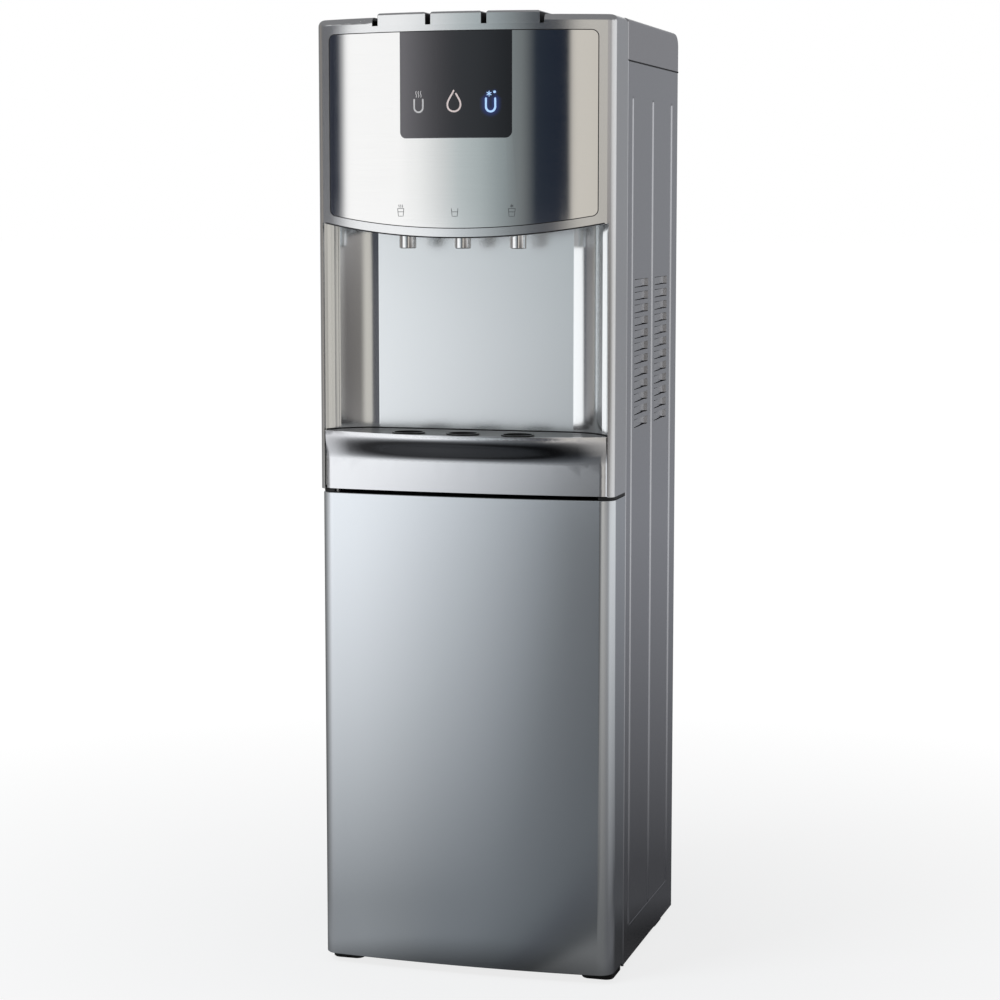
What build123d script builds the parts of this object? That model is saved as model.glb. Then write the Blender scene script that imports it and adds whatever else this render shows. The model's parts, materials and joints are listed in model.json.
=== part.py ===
"""Bottom-loading water dispenser, built piece by piece.

Millimetres. The floor is z = 0, the front faces -Y and +X is the viewer's right.
"""

import math
import os

from build123d import *

# Overall size
width = 330.0
depth = 346.0
height = 1040.0

# Front shells seen from above
front_bow = 34.0
door_bow = 8.0
front_wrap = 55.0
frame_corner_radius = 13.0
frame_top_radius = 7.0
door_corner_radius = 17.0

# Wall thicknesses
frame_wall = 3.0
door_wall = 2.5
cover_wall = 2.5
sheet = 1.5
deck_thickness = 3.0
niche_wall = 2.5
tray_wall = 4.5

# Clearances
seam_gap = 1.0
fit_gap = 0.3
slide_gap = 0.6
bearing_gap = 0.05
glue_gap = 0.02

# Heights, from the floor up
foot_height = 6.0
base_thickness = 3.0
door_clearance = 10.0
door_gap = 4.0
tray_height = 64.0
niche_height = 208.6
rim_width = 10.2
fascia_height = 205.2
fascia_margin = 16.0
cover_height = 43.5
key_proud = 4.0

# Base and bottle bay
foot_width = 36.0
foot_length = 46.0
foot_corner = 9.0
foot_inset = 0.5
foot_front = 18.0
base_setback = 14.0
base_rim = 16.0
stand_thickness = 6.0
stop_gap = 2.0
stop_width = 3.0
stop_height = 2.0
bottle_radius = 135.0
back_recess = 23.0

# Door
hinge_inset = 10.0
hinge_setback = 28.0
hinge_pin_radius = 4.0
hinge_boss_radius = 8.0
hinge_boss_length = 12.0
door_edge_radius = 0.8
liner_setback = 8.0
liner_thickness = 2.0
magnet_width = 18.0
magnet_height = 15.0
magnet_thickness = 8.0

# Side panels
rib_rise = 1.2
rib_width = 8.0
rib_shares = (0.12, 0.505, 0.882)
rib_margin = 38.0
rib_top_margin = 36.0
field_depth = 0.2
louvre_rows = 12
louvre_pitch = 13.9
louvre_height = 9.0
louvre_slit = 0.7
louvre_depth = 3.6
louvre_return = 3.2
louvre_lead = 13.0
louvre_tail = 20.5
louvre_above_tray = 6.0
panel_gap = 1.2
panel_flange = 14.0
edge_roll = 2.0
bead_width = 4.0
cover_side_radius = 5.0
locator_setback = 24.0
locator_overlap = 8.0

# Fascia
fascia_inset = 16.5
smile_radius = 800.0
fascia_corner = 7.0
fascia_thickness = 1.2
display_width = 122.0
display_height = 111.0
window_margin = 11.0
board_thickness = 1.6
board_setback = 15.0
board_height = 70.0
board_overlap = 8.0
light_pitch = 40.0
light_level = 29.0
light_radius = 8.0
post_radius = 3.0

# Niche and drip tray
pillar_width = 6.5
niche_depth = 41.0
cove_width = 48.5
cove_setback = 2.0
cove_crease = 12.0
tray_floor = 2.5
tray_lip = 2.0
tray_corner_radius = 17.0
lip_corner_radius = 13.0
grille_thickness = 2.2
grille_drop = 0.8
drip_hole_radius = 15.5
drip_collar = 1.2
recess_start = 34.0
recess_end = 60.0
shelf_lip_inset = 1.0
shelf_lip_width = 3.5

# Outlets
outlet_pitch = 61.0
spout_radius = 9.0
spout_bore = 5.0
spout_reach = 11.1
spout_setback = 28.0
spout_flange = 3.0
hose_radius = 5.0
hose_bore = 3.5
valve_radius = 11.0
valve_body = 20.0
coil_size = 28.0
port_height = 12.0
port_length = 33.0

# Keys
key_width = 55.5
key_wall = 2.5
key_side_gap = 5.25
key_front_gap = 0.5
key_rear_gap = 1.0
key_notch = 9.5
key_skirt = 8.5
key_radius = 2.5
key_travel = 3.0
key_pin_radius = 2.0
key_barrel_radius = 4.5
key_pivot_setback = 7.0
key_pivot_drop = 9.0
key_depth = 73.0
lug_thickness = 3.0
pusher_radius = 4.0
pusher_setback = 25.0
switch_height = 4.0
switch_width = 6.0
key_board_depth = 16.0
spring_width = 8.0
spring_thickness = 0.8
spring_foot = 12.0
spring_reach = 15.0

# Tanks and cooling
shelf_drop = 30.0
shelf_thickness = 2.0
hot_radius = 42.0
hot_insulation = 13.0
hot_setback = 135.0
cold_radius = 58.0
cold_insulation = 14.0
cold_side_gap = 6.3
cold_setback = 125.0
riser_gap = 12.0
tank_wall = 1.5
compressor_radius = 65.0
compressor_height = 150.0
compressor_wall = 14.0
compressor_x = -30.0
compressor_setback = 100.0
grommet_height = 10.0
pipe_radius = 4.0
coil_tube_radius = 2.5
coil_runs = 12
coil_pitch = 36.0
coil_left = -45.0
coil_inset = 22.3
coil_wire_radius = 0.7
coil_wire_pitch = 8.0
coil_standoff = 10.0
coil_bend = 10.0
coil_end = 12.0
coil_tube_wall = 0.6
coil_foot = 18.0

# Pump and probe
pump_inset = 62.3
pump_setback = 60.0
pump_radius = 24.0
pump_length = 56.0
probe_inset = 17.0
probe_setback = 30.0
probe_radius = 6.0
probe_length = 350.0
collar_radius = 13.0
collar_height = 30.0

# Back
heat_switch_inset = 54.3
cool_switch_inset = 24.3
switch_drop = 90.0
rocker_width = 14.0
rocker_thickness = 10.0
rocker_length = 22.0
rocker_tilt = 7.0
housing_wall = 3.0
gland_inset = 42.3
vent_inset = 27.3
vent_width = 60.0
vent_slot = 5.0
vent_pitch = 14.0
vent_foot = 60.0
gland_radius = 10.0
gland_bore = 4.5
drain_radius = 6.0
drain_bore = 4.2
screw_radius = 4.0

half_width = width / 2
front_y = -depth / 2
back_y = depth / 2
corner_y = front_y + front_bow
seam_y = corner_y + front_wrap
back_panel_y = back_y - back_recess
inner_half = half_width - rib_rise - sheet

base_top = foot_height + base_thickness
frame_top = height - key_proud
fascia_top = frame_top - fascia_margin
fascia_bottom = fascia_top - fascia_height
rim_bottom = fascia_bottom - rim_width
tray_top = rim_bottom - niche_height
frame_bottom = tray_top - tray_height
shelf_top = frame_bottom + deck_thickness
door_top = frame_bottom - door_gap
door_bottom = door_clearance
door_height = door_top - door_bottom
door_rear = seam_y - 1.5 * seam_gap
deck_top = door_top - seam_gap
deck_bottom = deck_top - deck_thickness
fascia_half = half_width - fascia_inset
display_bottom = fascia_top - display_height
cover_bottom = frame_top - cover_height
panel_top = cover_bottom - panel_gap

niche_half = half_width - pillar_width
niche_back = corner_y + niche_depth
cove_y = corner_y + cove_setback
cove_x = niche_half - cove_width
rim_end = rim_bottom + smile_radius - math.sqrt(smile_radius**2 - niche_half**2)
ceiling = rim_end + 3.5
ceiling_top = ceiling + deck_thickness
outlets = (-outlet_pitch, 0.0, outlet_pitch)
outlet_y = front_y + spout_setback
port_z = ceiling_top + spout_flange + port_height

tank_floor = rim_bottom - shelf_drop
tank_base = tank_floor + shelf_thickness
tank_top = cover_bottom - 8.0
hot_y = back_panel_y - hot_setback
cold_y = back_panel_y - cold_setback
compressor_y = back_panel_y - compressor_setback
pump_y = back_panel_y - pump_setback
probe_y = back_panel_y - probe_setback
hot_outer = hot_radius + hot_insulation
cold_half = cold_radius + cold_insulation
cold_x = inner_half - cold_side_gap - cold_half
riser_x = cold_x - cold_half - riser_gap
hot_x = (riser_x - hose_radius - inner_half) / 2
pump_x = inner_half - pump_inset
coil_right = inner_half - coil_inset
gland_x = -inner_half + gland_inset
switch_columns = (-inner_half + heat_switch_inset, -inner_half + cool_switch_inset)
coil_y = back_panel_y + sheet + coil_standoff
coil_top = deck_top + coil_foot + (coil_runs - 1) * coil_pitch
drain_z = tank_base + hot_insulation + 2 * drain_radius
pipe_y = back_panel_y - 22.0

notch_floor = frame_top - key_notch
notch_half = outlet_pitch + key_width / 2 + key_side_gap
notch_rear = front_y + key_depth
key_rear = notch_rear - key_rear_gap
key_inset = frame_wall + key_front_gap
key_bottom = notch_floor - key_skirt
pivot_y = notch_rear + key_pivot_setback
pivot_z = frame_top - key_pivot_drop
pusher_y = front_y + pusher_setback
pusher_drop = (pivot_y - pusher_y) * math.sin(math.radians(key_travel))
key_board_top = key_bottom - pusher_drop - fit_gap - switch_height
key_board_bottom = key_board_top - board_thickness
board_y = front_y + board_setback

hinge_x = -half_width + hinge_inset
hinge_y = seam_y - hinge_setback
liner_y = corner_y + liner_setback
probe_x = inner_half - probe_inset
probe_top = deck_bottom - 24.0
pump_z = deck_top + 9.0 + pump_radius
pump_port = 10.0
shelf_front = corner_y + frame_corner_radius - frame_wall
tray_base = shelf_top + fit_gap


def block(x0, x1, y0, y1, z0, z1):
    """Box between two corners."""
    return Pos((x0 + x1) / 2, (y0 + y1) / 2, (z0 + z1) / 2) * Box(x1 - x0, y1 - y0, z1 - z0)


def rod(radius, start, end):
    """Round bar between two points."""
    axis = Vector(*end) - Vector(*start)
    return extrude(Plane(origin=start, z_dir=axis) * Circle(radius), amount=axis.length)


def ring_rod(radius, bore, start, end):
    """Tube between two points."""
    return rod(radius, start, end) - rod(bore, start, end)


def bent_pipe(radius, bore, bends, points):
    """Tube along straight runs joined by tangent bends."""
    path = FilletPolyline(*points, radius=bends)
    section = Plane(origin=path @ 0, z_dir=path % 0) * (Circle(radius) - Circle(bore))
    return sweep(section, path=path)


def prism(face, z0, z1):
    """Plan face raised from z0 to z1."""
    return Pos(0, 0, z0) * extrude(face, amount=z1 - z0)


def front_prism(face, y0, y1):
    """Face drawn in X and Z, carried from y0 to y1."""
    return extrude(Plane.XZ.offset(-y1) * face, amount=y1 - y0)


def bow_y(x, bow, inset=0.0):
    """Y of a bowed front at x, inset measured square to the surface."""
    radius = (half_width**2 + bow**2) / (2 * bow)
    return corner_y - bow + radius - math.sqrt((radius - inset) ** 2 - x**2)


def bow_arc(half, bow, inset):
    """Bowed front edge from -half to +half."""
    end = bow_y(half, bow, inset)
    return ThreePointArc((-half, end), (0, bow_y(0, bow, inset)), (half, end))


def bow_plan(half, rear, bow, inset=0.0, corner=0.0):
    """Plan with a bowed front, straight sides and a straight back."""
    end = bow_y(half, bow, inset)
    sides = Polyline((half, end), (half, rear), (-half, rear), (-half, end))
    face = make_face(Curve() + [bow_arc(half, bow, inset), sides])
    if corner > 0:
        face = fillet(face.vertices().sort_by(Axis.Y)[:2], corner)
    return face


def bow_slab(half, bow, inset, thickness, z0, z1):
    """Sheet that follows the bowed front."""
    outer = bow_y(half, bow, inset)
    inner = bow_y(half, bow, inset + thickness)
    ends = [Line((half, outer), (half, inner)), Line((-half, outer), (-half, inner))]
    arcs = [bow_arc(half, bow, inset), bow_arc(half, bow, inset + thickness)]
    return prism(make_face(Curve() + arcs + ends), z0, z1)


def smile_z(x, base):
    """Height of the rim's curved lower edge at x."""
    return base + smile_radius - math.sqrt(smile_radius**2 - x**2)


def smile_face(half, base, top):
    """Face over the curved lower edge, straight at the sides and on top."""
    end = smile_z(half, base)
    arc = ThreePointArc((-half, end), (0, base), (half, end))
    return make_face(Curve() + [arc, Polyline((half, end), (half, top), (-half, top), (-half, end))])


def fascia_outline(inset):
    """Outline of the steel panel's recess, drawn in by inset."""
    face = smile_face(fascia_half - inset, fascia_bottom + inset, fascia_top - inset)
    return fillet(face.vertices(), fascia_corner)


def display_outline(inset):
    """Outline of the display, rounded at its two lower corners."""
    half = display_width / 2 - inset
    bottom = display_bottom + inset
    top = fascia_top - fit_gap
    points = [(-half, bottom), (half, bottom), (half, top), (-half, top)]
    face = make_face(Polyline(*points, close=True))
    return fillet(face.vertices().sort_by(Axis.Y)[:2], fascia_corner)


def cove_plan(front, inset):
    """Plan of the niche: straight back, round coves that meet it at a crease, sides run on to front."""
    crease = math.radians(cove_crease)
    along = niche_depth - cove_setback
    turn = 2 * math.atan2(along, cove_width) - crease
    radius = along / (math.cos(crease) - math.cos(turn))
    centre_x = cove_x - radius * math.sin(crease)
    centre_y = niche_back - radius * math.cos(crease)
    radius -= inset
    half = niche_half - inset
    rear = niche_back - inset
    first = math.acos((rear - centre_y) / radius)
    last = math.asin((half - centre_x) / radius)
    arc = []
    for angle in (first, (first + last) / 2, last):
        arc.append((centre_x + radius * math.sin(angle), centre_y + radius * math.cos(angle)))
    mirrored = [(-x, y) for x, y in arc]
    back = Line(arc[0], mirrored[0])
    sides = Polyline(mirrored[2], (-half, front), (half, front), arc[2])
    return make_face(Curve() + [ThreePointArc(*arc), back, ThreePointArc(*mirrored), sides])


def base_pan():
    pan = block(-inner_half, inner_half, corner_y + base_setback, back_panel_y, foot_height, base_top)
    rim_front = seam_y + 4 * seam_gap
    for side in (-1, 1):
        edges = sorted((side * inner_half, side * (inner_half - deck_thickness)))
        pan += block(*edges, rim_front, back_panel_y, base_top, base_top + base_rim)
    return pan - rod(hinge_pin_radius + glue_gap, (hinge_x, hinge_y, 0), (hinge_x, hinge_y, base_top + 1))


def bottle_stand():
    """Plate under the bottle, with a low stop round the back of it."""
    half = inner_half - deck_thickness - fit_gap
    front = seam_y + 8 * seam_gap
    rear = back_panel_y - fit_gap
    top = base_top + stand_thickness
    plate = block(-half, half, front, rear, base_top, top)
    inner = bottle_radius + stop_gap
    centre = rear - inner - stop_width
    stop = ring_rod(inner + stop_width, inner, (0, centre, top), (0, centre, top + stop_height))
    return plate + (stop & block(-half, half, centre, rear, top - 1, top + stop_height + 1))


def feet():
    places = []
    x = inner_half - foot_inset - foot_width / 2
    half = foot_length / 2
    for place in (-x, x):
        for y in (corner_y + foot_front + half, back_panel_y - foot_front - half):
            foot = Pos(place, y, foot_height / 2) * Box(foot_width, foot_length, foot_height)
            foot = fillet(foot.edges().filter_by(Axis.Z), foot_corner)
            places.append(chamfer(foot.edges().group_by(Axis.Z)[0], 1.0))
    return Compound(children=places)


def rib(y, z0, z1):
    """Upright bead with rounded ends on the outside of a side panel."""
    base = inner_half + sheet - field_depth
    tip = half_width
    half = rib_width / 2
    arc = ThreePointArc((base, y - half), (tip, y), (base, y + half))
    bead = prism(make_face(Curve() + [arc, Line((base, y + half), (base, y - half))]), z0 + half, z1 - half)
    side = ThreePointArc((base, y - half), (base + 0.73 * (tip - base), y - half / 2), (tip, y))
    quarter = make_face(Curve() + [side, Polyline((tip, y), (base, y), (base, y - half))])
    for end in (z0 + half, z1 - half):
        bead += revolve(Pos(0, 0, end) * quarter, Axis((0, y, end), (1, 0, 0)))
    return bead


def edge_bead(z0, z1):
    """Half-round bead down the front edge of a side panel, as wide as the front frame."""
    base = inner_half + sheet - field_depth
    first = seam_y + seam_gap
    last = first + bead_width
    arc = ThreePointArc((base, first), (half_width, (first + last) / 2), (base, last))
    return prism(make_face(Curve() + [arc, Line((base, last), (base, first))]), z0, z1)


def louvre_strip(y0, y1, z):
    """Pressed strip: a long ramp inwards and a steep return."""
    out = inner_half + sheet - field_depth
    skin = sheet - field_depth
    deep = y1 - louvre_return
    outer = [(out, y0), (out - louvre_depth, deep), (out, y1)]
    inner = [(out - skin, y1 + skin), (out - louvre_depth - skin, deep + skin / 2), (out - skin, y0 - skin)]
    tabs = [(out, y0 - 2 * skin)] + outer + [(out, y1 + 2 * skin), (out - skin, y1 + 2 * skin)]
    face = make_face(Polyline(*tabs, *inner, (out - skin, y0 - 2 * skin), close=True))
    half = louvre_height / 2 - louvre_slit
    return prism(face, z - half, z + half)


def side_panel():
    outside = inner_half + sheet
    front = seam_y + seam_gap
    span = back_y - seam_y
    ribs = [seam_y + share * span for share in rib_shares]
    low = foot_height - seam_gap
    panel = block(inner_half, outside, front, back_y, low, panel_top)
    panel += edge_bead(low, panel_top)
    field_low = low + rib_margin
    field_high = panel_top - rib_top_margin
    panel -= block(outside - field_depth, outside + 1, ribs[0], ribs[2], field_low, field_high)
    panel += block(outside - panel_flange, outside, back_y - sheet, back_y, low, panel_top)
    locator = inner_half - deck_thickness
    locator_low = panel_top - locator_overlap
    locator_high = cover_bottom + locator_overlap
    rear = back_panel_y - fit_gap
    panel += block(locator, inner_half, seam_y + locator_setback, rear, locator_low, locator_high)
    behind = back_panel_y + sheet + fit_gap
    panel += block(locator, inner_half, behind, back_y - cover_wall - fit_gap, locator_low, locator_high)
    for y in ribs:
        panel += rib(y, field_low, field_high)
    for first, second in zip(ribs, ribs[1:]):
        y0 = first + louvre_lead
        y1 = second - louvre_tail
        for row in range(louvre_rows):
            z = tray_top + louvre_above_tray + row * louvre_pitch
            panel -= block(inner_half - 1, outside + 1, y0, y1, z - louvre_height / 2, z + louvre_height / 2)
            panel += louvre_strip(y0, y1, z)
    return panel


def coil_levels():
    return [coil_top - index * coil_pitch for index in range(coil_runs)]


def wire_places():
    """X of the condenser's upright wires, clear of the bends."""
    first = compressor_x + 2 * coil_bend
    count = int((coil_right - coil_pitch / 2 - first) / coil_wire_pitch) + 1
    return [first + index * coil_wire_pitch for index in range(count)]


def back_panel():
    rear = back_panel_y + sheet
    panel = block(-inner_half, inner_half, back_panel_y, rear, foot_height, cover_bottom)
    for wire in (wire_places()[1], wire_places()[-3]):
        x = wire + coil_wire_pitch / 2
        for z in (coil_levels()[1], coil_levels()[-2]):
            panel += rod(coil_tube_radius, (x, rear, z), (x, coil_y - coil_tube_radius, z))
    hole = coil_tube_radius + fit_gap
    for z in (coil_levels()[0], coil_levels()[-1]):
        panel -= rod(hole, (compressor_x, back_panel_y - 1, z), (compressor_x, rear + 1, z))
    half_x = rocker_width / 2 + fit_gap + housing_wall + fit_gap
    half_z = rocker_length / 2 + 2 * fit_gap + housing_wall + fit_gap
    for x in switch_columns:
        z = panel_top - switch_drop
        panel -= block(x - half_x, x + half_x, back_panel_y - 1, rear + 1, z - half_z, z + half_z)
    gland_z = deck_top + 35
    panel -= rod(gland_radius + fit_gap, (gland_x, back_panel_y - 1, gland_z), (gland_x, rear + 1, gland_z))
    panel -= rod(drain_radius + fit_gap, (hot_x, back_panel_y - 1, drain_z), (hot_x, rear + 1, drain_z))
    vent_x = -inner_half + vent_inset
    for row in range(8):
        z = deck_top + vent_foot + row * vent_pitch
        panel -= block(vent_x, vent_x + vent_width, back_panel_y - 1, rear + 1, z, z + vent_slot)
    return panel


def mid_deck():
    front = seam_y + 4 * seam_gap
    deck = block(-inner_half, inner_half, front, back_panel_y, deck_bottom, deck_top)
    deck += block(-inner_half + 20, inner_half - 40, front, front + sheet, deck_bottom - 5, deck_bottom)
    return deck - rod(hose_radius + 1, (probe_x, probe_y, deck_bottom - 1), (probe_x, probe_y, deck_top + 1))


def shelf_lip(rear):
    """Lips down both sides that close the ends of the gap over the door."""
    outer = shelf_lip_inset
    inner = shelf_lip_inset + shelf_lip_width
    plans = []
    for inset in (outer, inner):
        plans.append(bow_plan(half_width - inset, rear, door_bow, inset, door_corner_radius - inset))
    low = door_top + seam_gap / 2
    lip = prism(plans[0] - plans[1], low, frame_bottom - fit_gap)
    keep = half_width - door_corner_radius
    for side in (-1, 1):
        edges = sorted((side * (half_width - frame_wall), side * (half_width - inner)))
        lip += block(*edges, shelf_front, rear, low, frame_bottom)
    return lip - block(-keep, keep, front_y, rear + 1, low - 1, frame_bottom + 1)


def tray_shelf():
    half = half_width - frame_wall
    rear = seam_y + 20
    shelf = block(-half, half, shelf_front, rear, frame_bottom, shelf_top)
    shelf += block(-half + 20, half - 20, rear - 10, rear, deck_top, frame_bottom)
    shelf += shelf_lip(door_rear)
    low = (hinge_x, hinge_y, frame_bottom - 1)
    return shelf - rod(hinge_pin_radius + glue_gap, low, (hinge_x, hinge_y, shelf_top + 1))


def tank_shelf():
    shelf = block(-inner_half, inner_half, seam_y + 14, back_panel_y, tank_floor, tank_base)
    pipes = [(cold_x, compressor_y, pipe_radius), (compressor_x, pipe_y, pipe_radius)]
    for x, y, radius in [(riser_x, pump_y, hose_radius)] + pipes:
        shelf -= rod(radius + 1, (x, y, tank_floor - 1), (x, y, tank_base + 1))
    return shelf


def front_frame():
    plan = bow_plan(half_width, seam_y, front_bow, 0, frame_corner_radius)
    outer = prism(plan, frame_bottom, frame_top)
    top_edges = outer.faces().sort_by(Axis.Z)[-1].edges()
    outer = fillet(top_edges.filter_by(lambda edge: edge.center().Y < seam_y - 1), frame_top_radius)
    inside = half_width - frame_wall
    hollow = bow_plan(inside, seam_y + 1, front_bow, frame_wall, frame_corner_radius - frame_wall)
    frame = outer - prism(hollow, frame_bottom - 1, frame_top - frame_wall)

    arc_top = smile_z(niche_half, rim_bottom)
    rim_arc = ThreePointArc((-niche_half, arc_top), (0, rim_bottom), (niche_half, arc_top))
    low = frame_bottom - 1
    rest = Polyline((niche_half, arc_top), (niche_half, low), (-niche_half, low), (-niche_half, arc_top))
    frame -= front_prism(make_face(Curve() + [rim_arc, rest]), front_y - 5, corner_y + 20)

    recess = bow_slab(fascia_half + 5, front_bow, -3, fascia_thickness + glue_gap + 3, rim_bottom, frame_top)
    frame -= recess & front_prism(fascia_outline(0), front_y - 5, corner_y + 10)
    window = display_width / 2 - window_margin
    board_low = display_bottom + window_margin
    frame -= block(-window, window, front_y - 5, corner_y + 10, board_low, board_low + board_height)
    frame -= block(-notch_half, notch_half, front_y - 5, notch_rear, notch_floor, frame_top + 1)

    under = frame_top - frame_wall
    for x in (-notch_half - 1, -outlet_pitch / 2, outlet_pitch / 2, notch_half + 1):
        lug = block(
            x - lug_thickness / 2, x + lug_thickness / 2, pivot_y - 5, pivot_y + 5, pivot_z - 6, under + 0.5
        )
        frame += lug
    start = (-notch_half - 5, pivot_y, pivot_z)
    frame -= rod(key_pin_radius + glue_gap, start, (notch_half + 5, pivot_y, pivot_z))

    for x in (-outlet_pitch * 1.4, -outlet_pitch / 2, outlet_pitch / 2, outlet_pitch * 1.4):
        wall = bow_y(x, front_bow, frame_wall) - 1
        rear = pusher_y + key_board_depth / 2
        frame += block(x - 1.5, x + 1.5, wall, rear, key_board_bottom - 5, key_board_bottom)
    post_x = window + board_overlap - post_radius
    for x in (-post_x, post_x):
        for z in (board_low + 2 * post_radius, board_low + board_height - 2 * post_radius):
            frame += rod(post_radius, (x, board_y, z), (x, bow_y(x, front_bow, frame_wall) - 0.8, z))

    for side in (-1, 1):
        edges = sorted((side * (inner_half - deck_thickness), side * (inside + 0.2)))
        frame += block(*edges, seam_y - 10, seam_y + 8, tray_top, rim_bottom - 2 * shelf_drop)
    return frame


def fascia_panel():
    slab = bow_slab(fascia_half, front_bow, 0, fascia_thickness, fascia_bottom - 1, fascia_top + 1)
    slab &= front_prism(fascia_outline(fit_gap), front_y - 5, corner_y + 10)
    return slab - front_prism(display_outline(-fit_gap) + display_gap(), front_y - 5, corner_y + 10)


def display_gap():
    """Opens the steel panel above the display, so that the display reaches its top edge."""
    half = display_width / 2 + fit_gap
    return Pos(0, fascia_top) * Rectangle(2 * half, 20)


def display_window():
    slab = bow_slab(display_width, front_bow, 0, fascia_thickness, display_bottom, fascia_top)
    return slab & front_prism(display_outline(0), front_y - 5, corner_y + 10)


def display_board():
    """Circuit board with three light cells behind the display."""
    half = display_width / 2 - window_margin + board_overlap
    low = display_bottom + window_margin
    board = block(-half, half, board_y, board_y + board_thickness, low, low + board_height)
    pieces = [board]
    for x in (-light_pitch, 0, light_pitch):
        z = low + light_level
        tip = bow_y(abs(x) + light_radius + 1, front_bow, fascia_thickness + 1)
        pieces.append(rod(light_radius, (x, board_y, z), (x, tip, z)))
    return Compound(children=pieces)


def frame_inside(gap):
    """Plan of the space inside the front frame, drawn in by gap."""
    half = half_width - frame_wall - gap
    return bow_plan(half, seam_y, front_bow, frame_wall + gap, frame_corner_radius - frame_wall)


def niche_panel():
    front = cove_y - 0.5
    panel = prism(cove_plan(front, -niche_wall), shelf_top, ceiling) & prism(frame_inside(fit_gap), 0, height)
    return panel - prism(cove_plan(front - 1, 0), shelf_top - 1, ceiling + 1)


def spout_plate():
    rear = niche_back + niche_wall + 3
    plate = prism(frame_inside(fit_gap), ceiling, ceiling_top)
    plate -= block(-half_width, half_width, rear, seam_y + 1, ceiling - 1, ceiling_top + 1)
    for x in outlets:
        plate -= rod(spout_radius + 0.2, (x, outlet_y, ceiling - 1), (x, outlet_y, ceiling_top + 1))
    return plate


def spout(x):
    low = rim_bottom - spout_reach
    barrel = rod(spout_radius, (x, outlet_y, low), (x, outlet_y, ceiling_top + spout_flange))
    barrel = chamfer(barrel.edges().group_by(Axis.Z)[0], 0.8)
    barrel += rod(spout_radius + 4, (x, outlet_y, ceiling_top), (x, outlet_y, ceiling_top + spout_flange))
    return barrel - rod(spout_bore, (x, outlet_y, low - 1), (x, outlet_y, ceiling_top + spout_flange + 1))


def valve(x):
    """Solenoid valve: body, coil and inlet port towards the back."""
    low = ceiling_top + spout_flange
    body = rod(valve_radius, (x, outlet_y, low), (x, outlet_y, low + valve_body))
    half = coil_size / 2
    coil = block(
        x - half, x + half, outlet_y - half, outlet_y + half, low + valve_body, low + valve_body + coil_size
    )
    port = rod(hose_radius, (x, outlet_y, port_z), (x, outlet_y + port_length, port_z))
    return body + fillet(coil.edges().filter_by(Axis.Z), 3) + port


def key(x):
    """Key cap, open below, with a barrel on the hinge pin and a peg over its switch."""
    half = key_width / 2
    plan = bow_plan(half_width, key_rear, front_bow, key_inset)
    cap = prism(plan, key_bottom, height) & block(x - half, x + half, front_y, key_rear, key_bottom, height)
    top_edges = cap.faces().sort_by(Axis.Z)[-1].edges()
    cap = fillet(top_edges.filter_by(lambda edge: edge.center().Y < key_rear - 1), key_radius)
    inner = half - key_wall
    hollow = prism(
        bow_plan(half_width, key_rear - key_wall, front_bow, key_inset + key_wall), key_bottom - 1, height - 3
    )
    cap -= hollow & block(x - inner, x + inner, front_y, key_rear - key_wall, key_bottom - 1, height - 3)
    cap += rod(pusher_radius, (x, pusher_y, key_bottom), (x, pusher_y, height - 2))
    cap += rod(key_barrel_radius, (x - half, pivot_y, pivot_z), (x + half, pivot_y, pivot_z))
    cap += block(x - half + 3, x + half - 3, key_rear - key_wall, pivot_y, pivot_z - 3, pivot_z + 3)
    bore = key_pin_radius + bearing_gap
    return cap - rod(bore, (x - half - 1, pivot_y, pivot_z), (x + half + 1, pivot_y, pivot_z))


def key_pin():
    end = notch_half + 3
    return rod(key_pin_radius, (-end, pivot_y, pivot_z), (end, pivot_y, pivot_z))


def key_board():
    """Circuit board with one switch under each key's peg."""
    half = outlet_pitch * 1.45
    front = pusher_y - key_board_depth / 2
    rear = pusher_y + key_board_depth / 2
    pieces = [block(-half, half, front, rear, key_board_bottom, key_board_top)]
    side = switch_width / 2
    top = key_board_top + switch_height
    for x in outlets:
        pieces.append(block(x - side, x + side, pusher_y - side, pusher_y + side, key_board_top, top))
    return Compound(children=pieces)


def key_spring(x):
    """Leaf spring from the switch board up to the key's underside."""
    foot = pusher_y + key_board_depth / 2 - 1
    tip = foot + spring_reach
    top = height - 3 - fit_gap
    low = key_board_top
    thick = spring_thickness
    points = [(foot - spring_foot, low), (foot, low), (tip, top), (tip - 1, top), (foot - 0.7, low + thick)]
    face = make_face(Polyline(*points, (foot - spring_foot, low + thick), close=True))
    return extrude(Plane.YZ.offset(x + 10) * face, amount=spring_width)


def lip_share(z):
    """0 on the lower part of the tray's front, 1 at its lip, a smooth change between."""
    share = min(max((z - frame_bottom - recess_start) / (recess_end - recess_start), 0.0), 1.0)
    return share * share * (3 - 2 * share)


def tray_plan(z, inset):
    """Plan of the tray's front at height z, rounded like the corners beside it, drawn in by inset."""
    corner = tray_corner_radius + (lip_corner_radius - tray_corner_radius) * lip_share(z)
    return bow_plan(half_width - inset, niche_back + 10, tray_bow(z), inset, max(corner - inset, 1.0))


def tray_bow(z):
    """Bow of the tray's front at height z: slight below, full at the lip."""
    return door_bow + (front_bow - door_bow) * lip_share(z)


def tray_body(inset, low, high):
    """Solid inside the tray's front and the niche's plan, drawn in by inset."""
    levels = [low + (high - low) * step / 22 for step in range(23)]
    sections = [Pos(0, 0, z) * tray_plan(z, inset) for z in levels]
    return loft(sections) & prism(cove_plan(front_y - 5, slide_gap + inset), low, high)


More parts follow.
